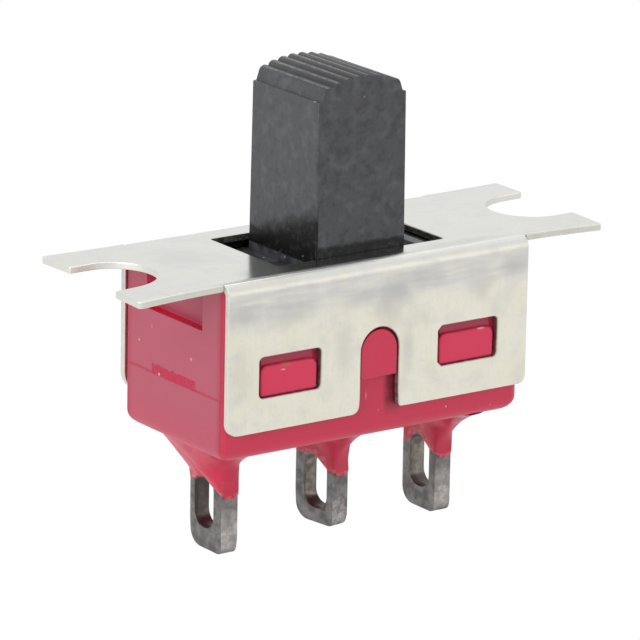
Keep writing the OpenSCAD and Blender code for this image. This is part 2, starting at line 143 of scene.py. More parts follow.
@dataclass
class Shape:
    """A mesh in the making, with the operations that the parts are made by."""

    bm: bmesh.types.BMesh = field(default_factory=bmesh.new, init=False)

    def everything(self) -> list:
        """Lists all vertices, edges and faces."""
        return self.bm.verts[:] + self.bm.edges[:] + self.bm.faces[:]

    def face_out(self) -> None:
        """Points all faces outwards."""
        bmesh.ops.recalc_face_normals(self.bm, faces=self.bm.faces[:])

    def shift(self, vec: Point, verts: list[Vert] | None = None) -> None:
        """Moves some of the vertices, or all of them."""
        bmesh.ops.translate(self.bm, vec=vec, verts=self.bm.verts[:] if verts is None else verts)

    def transform(self, matrix: Matrix) -> None:
        """Moves and turns the whole mesh."""
        bmesh.ops.transform(self.bm, matrix=matrix, verts=self.bm.verts)

    def stand(self, y: float) -> None:
        """Stands a mesh drawn on z = 0 up: its y becomes z, and its top faces -Y and lies at y."""
        self.transform(Matrix.Translation((0, y, 0)) @ Matrix.Rotation(math.pi / 2, 4, "X"))

    def bevel(
        self, geom: list, radius: float, segments: int, clamp: bool, affect: str = "EDGES"
    ) -> list[Face]:
        """Rounds edges or corners.

        Args:
            geom: The edges or vertices.
            radius: The radius of the rounding.
            segments: The number of steps across it.
            clamp: Whether roundings stop where they meet.
            affect: EDGES or VERTICES.

        Returns:
            The faces that it made.
        """
        return bmesh.ops.bevel(
            self.bm, geom=geom, offset=radius, offset_type="OFFSET", affect=affect, segments=segments,
            profile=0.5, clamp_overlap=clamp, material=-1,
            face_strength_mode="AFFECTED" if affect == "EDGES" else "NONE",
        )["faces"]

    def ring(self, corners: Sequence[Corner]) -> None:
        """Adds a closed loop of edges with rounded corners, on the plane z = 0.

        Args:
            corners: The x, y and radius of each corner, in order round the loop.
        """
        verts = [self.bm.verts.new((x, y, 0)) for x, y, _ in corners]
        for start, end in zip(verts, verts[1:] + verts[:1]):
            self.bm.edges.new((start, end))
        for vert, (_, _, radius) in zip(verts, corners):
            if radius > 0:
                self.bevel([vert], radius, min(14, 4 + round(6 * radius)), False, "VERTICES")

    def oblong(self, x: Pair, y: Pair, *radii: float) -> None:
        """Adds a rectangular loop on the plane z = 0.

        Args:
            x: Its left and right sides.
            y: Its lower and upper sides.
            radii: One radius for all corners, or one for each, anticlockwise from the lower left.
        """
        places = ((x[0], y[0]), (x[1], y[0]), (x[1], y[1]), (x[0], y[1]))
        self.ring([(*place, radii[index % len(radii)]) for index, place in enumerate(places)])

    def thicken(self, thickness: float) -> None:
        """Fills the loops on z = 0, leaving the inner ones open, and extrudes them down.

        Args:
            thickness: How far the solid goes down from z = 0.
        """
        bm = self.bm
        bmesh.ops.remove_doubles(bm, verts=bm.verts[:], dist=1e-4)
        bmesh.ops.triangle_fill(bm, use_beauty=True, edges=bm.edges[:])
        bmesh.ops.dissolve_limit(
            bm, angle_limit=0.01, verts=bm.verts[:], edges=bm.edges[:], use_dissolve_boundaries=False,
            delimit={"NORMAL"},
        )
        result = bmesh.ops.extrude_face_region(bm, geom=bm.faces[:])
        self.shift((0, 0, -thickness), made(result, Vert))
        self.face_out()

    def cut(self, axis: Axis, place: float, faces: Iterable[Face] | None = None) -> None:
        """Cuts faces along a plane without removing anything.

        Args:
            axis: The axis that the plane goes across.
            place: Where the plane stands on it.
            faces: The faces to cut, or None for the whole mesh.
        """
        geom = self.everything()
        if faces is not None:
            chosen = list(faces)
            geom = chosen + [*dict.fromkeys(e for f in chosen for e in f.edges)]
            geom += dict.fromkeys(v for f in chosen for v in f.verts)
        at = Vector(axis.value) * place
        bmesh.ops.bisect_plane(self.bm, geom=geom, dist=1e-5, plane_co=at, plane_no=axis.value)

    def level(self, z: float, test: Callable[[Vector], bool] = lambda centre: True) -> list[Face]:
        """Finds the level faces at a height whose centres pass a test.

        Args:
            z: The height of the faces.
            test: Says from a face's centre whether it counts.

        Returns:
            The faces.
        """
        self.bm.normal_update()
        flat = [(face, face.calc_center_median()) for face in self.bm.faces if abs(face.normal.z) > LEVEL]
        return [face for face, centre in flat if abs(centre.z - z) < NEAR and test(centre)]

    def draw_out(self, faces: list[Face], move: Point) -> None:
        """Moves faces out of the solid and closes the sides behind them.

        Args:
            faces: The faces that move.
            move: How far they go.
        """
        self.shift(move, made(bmesh.ops.extrude_face_region(self.bm, geom=faces), Vert))
        bmesh.ops.delete(self.bm, geom=faces, context="FACES")

    def sink(self, z: float, half: Pair, floor: float) -> None:
        """Presses a rectangle of the level faces at a height into a pocket.

        Args:
            z: The height of the faces.
            half: Half the pocket's length and width.
            floor: The height of the pocket's floor.
        """
        for side in SIDES:
            self.cut(Axis.X, side * half[0], self.level(z))
            self.cut(Axis.Y, side * half[1], self.level(z))
        inner = self.level(z, lambda centre: abs(centre.x) < half[0] and abs(centre.y) < half[1])
        self.draw_out(inner, (0, 0, floor - z))

    def round(self, test: EdgeTest, radius: float, segments: int = 3) -> None:
        """Rounds the edges whose two ends pass a test.

        Args:
            test: Says from an edge's two ends whether it is rounded.
            radius: The radius of the rounding.
            segments: The number of faces across it.
        """
        edges = [
            edge for edge in self.bm.edges
            if len(edge.link_faces) == 2 and edge.calc_face_angle(0) > SHARP
            and test(edge.verts[0].co, edge.verts[1].co)
        ]
        self.bevel(edges, radius, segments, True)

    def add(self, part: "Shape") -> None:
        """Takes in another mesh and frees it.

        Args:
            part: The other mesh.
        """
        spare = bpy.data.meshes.new("spare")
        part.bm.to_mesh(spare)
        part.bm.free()
        self.bm.from_mesh(spare)
        bpy.data.meshes.remove(spare)


@dataclass
class Part(Shape):
    """A piece of the switch, which stands for one CAD node and rides on its body."""

    name: ClassVar[str]
    node: ClassVar[str]
    slot: ClassVar[str]
    body: ClassVar[str] = "housing"
    crisp: ClassVar[float] = 50.0

    def shape(self) -> None:
        """Shapes the mesh. Each part has its own way."""
        raise NotImplementedError(self.name)

    def build(self, material: Material) -> Piece:
        """Shapes the part and finishes it as an object in metres.

        Args:
            material: Its finish.

        Returns:
            The object.
        """
        self.box = Box.of(self.node)
        self.shape()
        bmesh.ops.remove_doubles(self.bm, verts=self.bm.verts[:], dist=1e-5)
        bmesh.ops.scale(self.bm, vec=(MM, MM, MM), verts=self.bm.verts[:])
        mesh = bpy.data.meshes.new(self.name)
        self.bm.to_mesh(mesh)
        self.bm.free()
        mesh.shade_smooth()
        mesh.set_sharp_from_angle(angle=math.radians(self.crisp))
        mesh.materials.append(material)
        piece = bpy.data.objects.new(self.name, mesh)
        bpy.context.scene.collection.objects.link(piece)
        normals = piece.modifiers.new("even_normals", "WEIGHTED_NORMAL")
        normals.keep_sharp = True
        normals.use_face_influence = True
        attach(piece, self.body)
        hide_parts(self.node)
        LOG.info("%s: %d faces, on %s", self.name, len(mesh.polygons), self.body)
        return piece


# ------------------------------------------------------------------ shader nodes


class Value:
    """A number that changes over a surface. Sums on it add the nodes that work them out."""

    def __init__(self, graph: "Graph", socket: Socket) -> None:
        """Takes a socket and the graph that it is in."""
        self.graph, self.socket = graph, socket

    def sum(self, operation: str, other: object = 0.0) -> "Value":
        """Does one named sum, with this value first."""
        return self.graph.math(operation, self, other)

    def __add__(self, other: object) -> "Value":
        """Adds."""
        return self.sum("ADD", other)

    def __sub__(self, other: object) -> "Value":
        """Takes away."""
        return self.sum("SUBTRACT", other)

    def __rsub__(self, other: float) -> "Value":
        """Takes this value away from a plain number."""
        return self.graph.math("SUBTRACT", other, self)

    def __mul__(self, other: object) -> "Value":
        """Multiplies."""
        return self.sum("MULTIPLY", other)

    def __truediv__(self, other: object) -> "Value":
        """Divides."""
        return self.sum("DIVIDE", other)

    def __abs__(self) -> "Value":
        """Drops the sign."""
        return self.sum("ABSOLUTE")

    def at_least(self, other: object) -> "Value":
        """Gives the higher of two."""
        return self.sum("MAXIMUM", other)

    def at_most(self, other: object) -> "Value":
        """Gives the lower of two."""
        return self.sum("MINIMUM", other)

    def ramp(self, low: object, high: object, to_low: float = 0.0, to_high: float = 1.0) -> "Value":
        """Maps smoothly from one range to another, clamped at both ends.

        Args:
            low: The value that gives to_low.
            high: The value that gives to_high, which may be the lower of the two.
            to_low: The first result.
            to_high: The last result.

        Returns:
            The mapped value.
        """
        inputs = {"Value": self, "From Min": low, "From Max": high, "To Min": to_low, "To Max": to_high}
        node = self.graph.node("ShaderNodeMapRange", inputs, interpolation_type="SMOOTHSTEP")
        return Value(self.graph, node.outputs[0])

    def share(self, none: float, full: float) -> "Value":
        """Runs from one number where this mask is 0 to another where it is 1."""
        return self.ramp(0.0, 1.0, none, full)

    def band(self, start: float, full: float, fade: float, end: float) -> "Value":
        """Rises from start to full, and falls again from fade to end."""
        return self.ramp(start, full) * self.ramp(end, fade)


class Graph:
    """Adds nodes to a tree and links them, so that a finish reads as a few lines."""

    def __init__(self, tree: Tree) -> None:
        """Takes the tree that the nodes go into."""
        self.tree = tree

    def node(self, kind: str, inputs: dict | None = None, **settings: object) -> bpy.types.Node:
        """Adds a node.

        Args:
            kind: The node's type.
            inputs: A plain value, a Value or a socket for each named or numbered input.
            settings: The node's own settings.

        Returns:
            The node.
        """
        node = self.tree.nodes.new(kind)
        for name, setting in settings.items():
            setattr(node, name, setting)
        for key, value in (inputs or {}).items():
            self.feed(node.inputs[key], value)
        return node

    def feed(self, socket: Socket, value: object) -> None:
        """Links something into a socket, or sets a plain value on it.

        Args:
            socket: The socket that gets it.
            value: A Value, another socket, or a plain number, vector or colour.
        """
        source = value.socket if isinstance(value, Value) else value
        if isinstance(source, Socket):
            self.tree.links.new(source, socket)
        elif socket.type == "RGBA":
            socket.default_value = (*source, 1.0)
        else:
            socket.default_value = source

    def math(self, operation: str, a: object, b: object) -> Value:
        """Does one sum on two numbers."""
        return Value(self, self.node("ShaderNodeMath", {0: a, 1: b}, operation=operation).outputs[0])

    def vector(self, operation: str, a: object, b: object = ORIGIN) -> Socket:
        """Does one sum on two vectors."""
        return self.node("ShaderNodeVectorMath", {0: a, 1: b}, operation=operation).outputs[0]

    def axes(self, vector: Socket) -> list[Value]:
        """Splits a vector into x, y and z."""
        return [Value(self, socket) for socket in self.node("ShaderNodeSeparateXYZ", {0: vector}).outputs]

    def noise(self, vector: Socket, scale: object, detail: float = 3.0) -> Value:
        """Gives a cloudy number from 0 to 1."""
        inputs = {"Vector": vector, "Scale": scale, "Detail": detail}
        return Value(self, self.node("ShaderNodeTexNoise", inputs).outputs[0])

    def seen(self) -> Value:
        """Tells the rays that only look from those that light.

        Returns:
            1 for the camera's rays, and for those mirrored or let through.
        """
        rays, kinds = self.node("ShaderNodeLightPath").outputs, ("Camera", "Glossy", "Transmission")
        camera, glossy, through = (Value(self, rays[f"Is {kind} Ray"]) for kind in kinds)
        return camera.at_least(glossy.at_least(through))


class Pattern(Graph):
    """A pattern that several finishes share, as a shader node group that is made once."""

    name: str
    output = "Mask"
    inputs: dict[str, float | Point] = {}

    def __init__(self, tree: Tree) -> None:
        """Takes the group's tree and opens its inputs."""
        super().__init__(tree)
        self.source = self.node("NodeGroupInput").outputs
        self.place = self.source["Vector"]

    @classmethod
    def group(cls) -> Tree:
        """Makes the group, or finds it again after the first time.

        Returns:
            The group.
        """
        tree = bpy.data.node_groups.get(cls.name)
        if tree is None:
            tree = bpy.data.node_groups.new(cls.name, "ShaderNodeTree")
            for label, value in {"Vector": ORIGIN, **cls.inputs}.items():
                kind = "NodeSocketVector" if isinstance(value, tuple) else "NodeSocketFloat"
                tree.interface.new_socket(label, in_out="INPUT", socket_type=kind).default_value = value
            tree.interface.new_socket(cls.output, in_out="OUTPUT", socket_type="NodeSocketFloat")
            pattern = cls(tree)
            pattern.node("NodeGroupOutput", {0: pattern.draw()})
        return tree

    def draw(self) -> Value:
        """Gives what the group puts out. Each pattern has its own way."""
        raise NotImplementedError(self.name)


class SoftPatch(Pattern):
    """A soft ragged patch around a point, such as a smudge or a scuff."""

    name = "soft_patch"
    inputs = {"Centre": ORIGIN, "Radii": (1.0, 1.0, 1.0), "Ragged": 0.8, "Grain": 2.0}

    def draw(self) -> Value:
        """Measures the way to the centre in radii, and ruffles it.

        Returns:
            The mask.
        """
        source = self.source
        offset = self.vector("DIVIDE", self.vector("SUBTRACT", self.place, source["Centre"]), source["Radii"])
        length = self.node("ShaderNodeVectorMath", {0: offset}, operation="LENGTH").outputs["Value"]
        ragged = (self.noise(self.place, source["Grain"]) - 0.5) * source["Ragged"]
        return (Value(self, length) + ragged).ramp(1.15, 0.1)


class Mottle(Pattern):
    """Cloudy blotches between two thresholds."""

    name = "mottle"
    inputs = {"Shift": ORIGIN, "Scale": 1.0, "Low": 0.4, "High": 0.6}

    def draw(self) -> Value:
        """Shifts the clouds and cuts them off."""
        cloud = self.noise(self.vector("ADD", self.place, self.source["Shift"]), self.source["Scale"], 5.0)
        return cloud.ramp(self.source["Low"], self.source["High"])


class EdgeBand(Pattern):
    """A band along the edges of a box-shaped piece, broken up by noise: painted shade on the case's edges,
    real wear on the button's.
    """

    name = "edge_band_mask"
    inputs = {"Centre": ORIGIN, "Half": (1.0, 1.0, 1.0), "Width": 0.1}

    def draw(self) -> Value:
        """Finds how near two of the box's sides are at once.

        Returns:
            The mask.
        """
        offset = self.vector("ABSOLUTE", self.vector("SUBTRACT", self.place, self.source["Centre"]))
        a, b, c = self.axes(self.vector("SUBTRACT", self.source["Half"], offset))
        middle = a.at_most(b).at_least(a.at_least(b).at_most(c))
        ragged = self.noise(self.place, 4.0, 4.0) * self.source["Width"]
        return (ragged * 2.0 - middle).ramp(0.0, self.source["Width"])


class Specks(Pattern):
    """Sparse specks of dust or chipped skin."""

    name = "specks"
    inputs = {"Scale": 4.0, "Share": 0.1}

    def draw(self) -> Value:
        """Draws a dot in a share of the cells.

        Returns:
            The mask.
        """
        cells = self.node("ShaderNodeTexVoronoi", {"Vector": self.place, "Scale": self.source["Scale"]})
        chosen = self.axes(cells.outputs["Color"])[0].sum("LESS_THAN", self.source["Share"])
        return chosen * Value(self, cells.outputs["Distance"]).ramp(0.28, 0.12)


class Streaks(Pattern):
    """Fine lines drawn out along one direction, such as rolling or wiping marks."""

    name = "streaks"
    output = "Value"
    inputs = {"Stretch": (1.0, 1.0, 1.0), "Scale": 4.0}

    def draw(self) -> Value:
        """Stretches the noise."""
        stretched = self.vector("MULTIPLY", self.place, self.source["Stretch"])
        return self.noise(stretched, self.source["Scale"], 4.0)


class Coat(Graph):
    """A material in the making: its coordinates in millimetres, its colour so far and its shader."""

    def __init__(self, name: str, colour: Rgb) -> None:
        """Makes a material that is one plain colour so far.

        Args:
            name: The material's name.
            colour: The colour that the others are laid over.
        """
        self.material = bpy.data.materials.new(name)
        self.material.use_nodes = True
        self.material.node_tree.nodes.clear()
        super().__init__(self.material.node_tree)
        self.shader = self.node("ShaderNodeBsdfPrincipled")
        self.node("ShaderNodeOutputMaterial", {"Surface": self.shader.outputs[0]})
        coordinates = self.node("ShaderNodeTexCoord").outputs
        self.place = self.vector("MULTIPLY", coordinates["Object"], (1 / MM, 1 / MM, 1 / MM))
        self.x, self.y, self.z = self.axes(self.place)
        self.normal = coordinates["Normal"]
        self.colour: Rgb | Socket = colour

    def paint(self, mask: Value, colour: Rgb) -> None:
        """Lays a colour over the one so far.

        Args:
            mask: Where it goes, from 0 to 1.
            colour: The colour.
        """
        mix = self.node("ShaderNodeMix", data_type="RGBA", blend_type="MIX")
        for socket, value in zip((mix.inputs[0], mix.inputs[6], mix.inputs[7]), (mask, self.colour, colour)):
            self.feed(socket, value)
        self.colour = mix.outputs[2]

    def use(self, pattern: type[Pattern], **inputs: object) -> Value:
        """Places a shared pattern on the material's coordinates and gives its output."""
        node = self.node("ShaderNodeGroup", {"Vector": self.place, **inputs}, node_tree=pattern.group())
        return Value(self, node.outputs[0])

    def grain(self, scale: float, detail: float = 3.0) -> Value:
        """Gives a cloudy number from 0 to 1."""
        return self.noise(self.place, scale, detail)

    def clouds(self, scale: float, low: float, high: float, shift: Point = ORIGIN) -> Value:
        """Gives blotches between two thresholds."""
        return self.use(Mottle, Shift=shift, Scale=scale, Low=low, High=high)

    def streaks(self, stretch: Point, scale: float) -> Value:
        """Gives fine lines."""
        return self.use(Streaks, Stretch=stretch, Scale=scale)

    def spot(self, centre: Point, radii: Point, ragged: float, grain: float) -> Value:
        """Gives a soft ragged patch."""
        return self.use(SoftPatch, Centre=centre, Radii=radii, Ragged=ragged, Grain=grain)

    def edge_band(self, centre: Point, half: Point, width: float) -> Value:
        """Gives a band along the edges of a box."""
        return self.use(EdgeBand, Centre=centre, Half=half, Width=width)

    def mark(self, name: str) -> Value:
        """Reads a mark that the mesh carries on its faces."""
        return Value(self, self.node("ShaderNodeAttribute", attribute_name=name).outputs["Fac"])

    def gloss(self, roughness: object, metallic: object = 0.0) -> None:
        """Gives the shader its colour, roughness and metal."""
        for name, value in (("Base Color", self.colour), ("Roughness", roughness), ("Metallic", metallic)):
            self.feed(self.shader.inputs[name], value)

    def bump(self, height: Value, strength: float, distance: float) -> None:
        """Raises the surface by a height, whose full step is the distance in millimetres."""
        inputs = {"Strength": strength, "Distance": distance * MM, "Height": height}
        self.feed(self.shader.inputs["Normal"], self.node("ShaderNodeBump", inputs).outputs[0])


# ------------------------------------------------------------------ finishes


@dataclass(frozen=True)
class Finish:
    """What every finish has: its name, its ground colour and the way it is mixed."""

    name: str
    body: Rgb = (0.7, 0.7, 0.7)

    def material(self) -> Material:
        """Builds the material.

        Returns:
            The material.
        """
        coat = Coat(self.name, self.body)
        self.mix(coat)
        return coat.material

    def mix(self, coat: Coat) -> None:
        """Lays the finish on. Each finish has its own way."""
        raise NotImplementedError(self.name)


@dataclass(frozen=True)
class PlatedSteel(Finish):
    """Bright plating over sheet steel: sleek on top, satin and clouded on the walls."""

    body: Rgb = (0.755, 0.735, 0.635)
    # painted reflection: the top is cooler and darker than the walls, as it reflects neutral surroundings and
    # the walls warmer ones
    top: Rgb = (0.68, 0.685, 0.655)
    cream: Rgb = (0.70, 0.665, 0.52)
    lilac: Rgb = (0.555, 0.555, 0.565)
    dusk: Rgb = (0.40, 0.405, 0.41)
    cut_edge: Rgb = (0.70, 0.69, 0.64)
    # near-black brown for the cut edge round the button's opening
    opening_edge_tone: Rgb = (0.052, 0.047, 0.037)
    # painted reflection: the dark red of the case, as the cut edges in the windows and the slot reflect it
    recess: Rgb = (0.15, 0.035, 0.042)
    smudges: tuple[tuple[Point, Point, float], ...] = (
        ((0.6, -3.42, -1.25), (1.1, 0.8, 0.85), 0.55),
        ((-0.6, -3.42, -1.2), (1.2, 0.8, 0.5), 0.35),
        ((1.7, -3.42, -0.95), (1.2, 0.8, 0.5), 0.4),
        ((-1.6, -3.42, -3.0), (0.55, 0.8, 1.4), 0.3),
        ((1.2, -3.42, -3.4), (0.4, 0.8, 1.3), 0.35),
        ((-5.8, -3.42, -1.2), (0.8, 0.8, 0.5), 0.5),
        ((-3.9, -3.42, -1.3), (1.3, 0.8, 0.7), 0.4),
        ((5.8, -3.42, -1.0), (0.8, 0.8, 0.6), 0.5),
        ((4.3, -3.42, -1.4), (0.8, 0.8, 0.7), 0.25),
        ((-5.9, -3.42, -3.4), (0.5, 0.8, 1.2), 0.2),
        ((3.9, -2.75, 0.0), (2.4, 0.4, 0.2), 0.3),
        ((-5.8, 0.5, 0.0), (1.5, 1.6, 0.2), 0.25),
        ((0.35, -3.42, -1.75), (0.8, 0.3, 0.8), 0.4),
        ((7.95, 1.5, -0.14), (0.4, 0.3, 0.12), 0.75),
        ((7.0, -3.15, -0.14), (0.22, 0.2, 0.1), 0.6),
        ((-2.4, 3.42, -1.9), (1.3, 0.8, 0.7), 0.35),
        ((3.4, 3.42, -4.6), (1.0, 0.8, 0.6), 0.3),
    )

    def mix(self, coat: Coat) -> None:
        """Lays on the top's painted reflection tone, the clouding, a darker streaked band under the bends,
        the rolling lines, the smudges, the near-black edge of the opening and a painted dark reflection on
        the cut edges of the windows and the slot.

        Args:
            coat: The material in the making.
        """
        z, wide, deep = coat.z, abs(coat.x), abs(coat.y)
        on_top = z.ramp(-0.40, -0.08)
        sleek = on_top * deep.ramp(3.1, 2.75)
        # painted reflection: the top gets its own cooler, darker tone
        coat.paint(on_top, self.top)
        coat.paint(coat.clouds(0.7, 0.42, 0.7) * on_top.share(0.4, 0.22), self.cream)
        lilac = coat.clouds(1.1, 0.45, 0.72, (5.0, 9.0, 2.0))
        coat.paint(lilac * on_top.share(0.38, 0.24), self.lilac)
        # a darker streaked band along the top of each wall, just under the bend
        upper_wall_streaks = coat.streaks((0.3, 1.0, 2.2), 2.4).ramp(0.3, 0.7, 0.25, 0.8)
        coat.paint(z.band(-1.9, -0.9, -0.5, -0.12) * upper_wall_streaks, self.lilac)
        lines = coat.streaks((1.0, 1.0, 0.13), 7.0)
        coat.paint(lines.ramp(0.5, 0.72, 0.0, 0.16), self.lilac)
        grain = coat.grain(9.0, 5.0)
        coat.paint(grain.ramp(0.48, 0.72, 0.0, 0.2), self.lilac)
        dirty: Value | float = 0.0
        for centre, radii, strength in self.smudges:
            dirty = (coat.spot(centre, radii, 0.9, 1.5) * strength).at_least(dirty)
        coat.paint(dirty, self.dusk)
        rim = coat.mark("rim")
        coat.paint(rim * coat.grain(3.0, 4.0).ramp(0.25, 0.6, 0.35, 0.9), self.cut_edge)
        # the cut edge round the button's opening is painted near-black brown
        in_opening = wide.ramp(4.02, 3.92) * deep.ramp(2.5, 2.4) * (rim * z.ramp(-0.5, -0.3))
        coat.paint(in_opening * coat.grain(5.0).ramp(0.35, 0.6, 0.95, 0.7), self.opening_edge_tone)
        # painted reflection: the cut edges in the windows and the slot face into the case and are painted
        # dark red
        in_window = wide.ramp(5.5, 5.4) * z.ramp(-4.6, -4.5)
        in_hole = in_window.at_least(wide.ramp(1.2, 1.1)) * z.ramp(-2.2, -2.3) * rim
        coat.paint(in_hole * coat.grain(3.0).ramp(0.3, 0.6, 0.65, 0.9), self.recess)
        coat.gloss(sleek.share(0.42, 0.16) + lilac * 0.05 + rim * 0.4, metallic=1.0)
        coat.bump(coat.grain(1.1, 2.0) + (lines + grain) * 0.1, 0.35, 0.02)


@dataclass(frozen=True)
class CrimsonResin(Finish):
    """Moulded crimson resin: a satin skin, with a painted sheen on its ends and painted near-black shade on
    its inner walls where the button runs.
    """

    body: Rgb = (0.64, 0.022, 0.075)
    # painted shade for the rounded edges
    edge: Rgb = (0.42, 0.008, 0.042)
    # painted sheen: the pale pink that the key light's reflection gives the ends
    painted_sheen: Rgb = (0.44, 0.072, 0.120)
    # painted shade: near black for the inner walls where the button runs
    near_black: Rgb = (0.012, 0.008, 0.009)
    shade: Rgb = (0.10, 0.006, 0.012)
    seam: Rgb = (0.42, 0.008, 0.045)
    # painted shade for the back walls of the end pockets
    pocket: Rgb = (0.30, 0.03, 0.07)
    # painted shade for the case wall seen above the latches
    painted_lighting: Rgb = (0.42, 0.030, 0.080)
    lit: Rgb = (0.74, 0.028, 0.094)
    gate: Rgb = (0.50, 0.008, 0.056)
    ledge: Rgb = (0.66, 0.007, 0.050)
    half: Point = (6.5, 3.1, 3.165)
    centre: Point = (0.0, 0.0, -3.415)
    seam_z: float = 4.27
    gate_z: float = 4.13
    specks: tuple[tuple[Point, Point, Rgb], ...] = (
        ((-6.5, -1.1, -3.2), (0.1, 0.09, 0.085), (0.70, 0.40, 0.26)),
        ((-6.5, 2.2, -3.3), (0.1, 0.055, 0.055), (0.75, 0.45, 0.35)),
        ((-6.5, 1.4, -2.6), (0.1, 0.06, 0.06), (0.66, 0.22, 0.28)),
        ((-6.5, 0.9, -4.25), (0.1, 0.06, 0.07), (0.85, 0.65, 0.70)),
        ((-4.0, -3.32, -3.17), (0.26, 0.17, 0.14), (0.40, 0.16, 0.04)),
        ((-4.14, -3.38, -3.36), (0.14, 0.08, 0.05), (0.95, 0.60, 0.60)),
        ((4.5, -3.32, -3.16), (0.2, 0.1, 0.045), (0.95, 0.60, 0.62)),
        ((-0.35, -3.1, -4.95), (0.03, 0.1, 0.24), (0.80, 0.36, 0.42)),
        ((-0.72, -3.2, -4.33), (0.09, 0.12, 0.05), (0.88, 0.60, 0.64)),
        ((-0.42, -3.2, -4.27), (0.14, 0.1, 0.025), (0.80, 0.40, 0.46)),
        ((0.2, -3.1, -5.6), (0.03, 0.1, 0.05), (0.75, 0.32, 0.40)),
        ((5.2, -3.1, -6.2), (0.04, 0.1, 0.035), (0.85, 0.60, 0.65)),
        ((3.2, -3.1, -5.95), (0.035, 0.1, 0.05), (0.85, 0.60, 0.65)),
    )

    def mix(self, coat: Coat) -> None:
        """Lays on the painted sheen of the ends, the painted shade in the pockets and along the edges, the
        seam and the torn gate, the painted shade above the latches and painted highlight on their faces, the
        painted shade on the inner walls and the specks.

        Args:
            coat: The material in the making.
        """
        x, y, z = coat.x, coat.y, coat.z
        wide, deep = abs(x), abs(y)
        to_x, _, to_z = coat.axes(coat.normal)
        on_end = abs(to_x).ramp(0.7, 0.97)
        # painted sheen on the end faces, less towards the bottom, with faint random clouds of the same tone
        # elsewhere
        sheen_on_ends = on_end * (1.0 - z.ramp(-4.6, -6.5) * 0.25)
        coat.paint(sheen_on_ends.at_least(coat.clouds(0.8, 0.3, 0.7) * 0.12), self.painted_sheen)
        # painted shade on the faces that face the ends inside the outer end faces, such as the pockets' back
        # walls
        coat.paint(wide.ramp(6.3, 6.2) * on_end * 0.45, self.pocket)
        level = to_z.ramp(0.5, 0.9) * deep.ramp(2.7, 2.6)
        coat.paint(level * z.band(-3.5, -3.3, -1.2, -1.0), self.ledge)
        # painted shade on the rounded upright edges of the end faces, turned away from the light and shaded
        # by the bracket
        coat.paint(deep.ramp(2.6, 3.0) * on_end * 0.8, self.edge)
        # painted shade along all the case's edges, broken by noise
        coat.paint(coat.edge_band(self.centre, self.half, 0.12) * 0.5, self.edge)
        outer = wide.ramp(6.4, 6.47) * on_end
        seam = abs(z + self.seam_z).ramp(0.09, 0.02) * outer
        coat.paint(seam * 0.75, self.seam)
        torn = coat.grain(5.0, 6.0)
        ragged = (torn - 0.5) * 0.25
        gate_high = (abs(z + self.gate_z) + ragged).ramp(0.22, 0.15)
        gate = (deep + ragged).ramp(1.42, 1.34) * gate_high * outer
        coat.paint(gate * torn.ramp(0.25, 0.5, 0.5, 0.95), self.gate)
        coat.paint(gate * coat.grain(6.0).ramp(0.45, 0.62, 0.0, 0.85), self.seam)
        # painted shade: the case wall above each latch, in shadow under the window's upper edge
        behind = deep.band(3.0, 3.05, 3.2, 3.24) * z.band(-3.2, -3.1, -2.6, -2.5) * wide.ramp(2.4, 2.5)
        coat.paint(behind * 0.8, self.painted_lighting)
        coat.paint(deep.ramp(3.24, 3.3) * wide.ramp(2.0, 2.4) * 0.7, self.lit)
        # painted shade: the inner walls above the ledge, round where the button runs, are painted near black
        coat.paint(wide.ramp(5.75, 5.65) * deep.ramp(2.75, 2.65) * z.ramp(-1.95, -1.5), self.near_black)
        strip = x.band(0.34, 0.60, 1.1, 1.2) * z.band(-6.0, -5.2, -4.32, -4.2) * y.ramp(-3.0, -3.05)
        coat.paint(strip * coat.grain(3.0).ramp(0.2, 0.5, 0.5, 0.8), self.shade)
        for centre, radii, tint in self.specks:
            coat.paint(coat.spot(centre, radii, 1.1, 7.0) * 0.75, tint)
        coat.gloss(coat.grain(2.5, 4.0) * 0.14 + 0.36 + gate * 0.15)
        coat.bump(coat.grain(14.0) * 0.25 + gate * (torn * 2.0) - seam * 0.4, 0.5, 0.04)


@dataclass(frozen=True)
class SealResin(Finish):
    """The potted seal: the case's crimson, glossier, with a pale edge where it thins out."""

    body: Rgb = (0.62, 0.020, 0.070)
    cloud: Rgb = (0.44, 0.016, 0.050)
    thin: Rgb = (0.66, 0.20, 0.22)
    gold: Rgb = (0.30, 0.13, 0.06)
    shade: Rgb = (0.22, 0.006, 0.02)

    def mix(self, coat: Coat) -> None:
        """Lays on the clouding, the thin edge, the shade under the case and the creases.

        Args:
            coat: The material in the making.
        """
        cloud = coat.clouds(1.6, 0.35, 0.7)
        coat.paint(cloud * 0.35, self.cloud)
        broken = coat.grain(5.0, 4.0).ramp(0.35, 0.6)
        coat.paint(coat.mark("rim") * broken * 0.6, self.thin)
        coat.paint(coat.z.ramp(-7.15, -6.75) * coat.y.ramp(-1.1, -1.5) * 0.6, self.shade)
        coat.paint(coat.mark("crease") * broken * 0.7, self.gold)
        coat.gloss(cloud * 0.12 + 0.34)
        coat.bump(coat.grain(2.5), 0.4, 0.05)


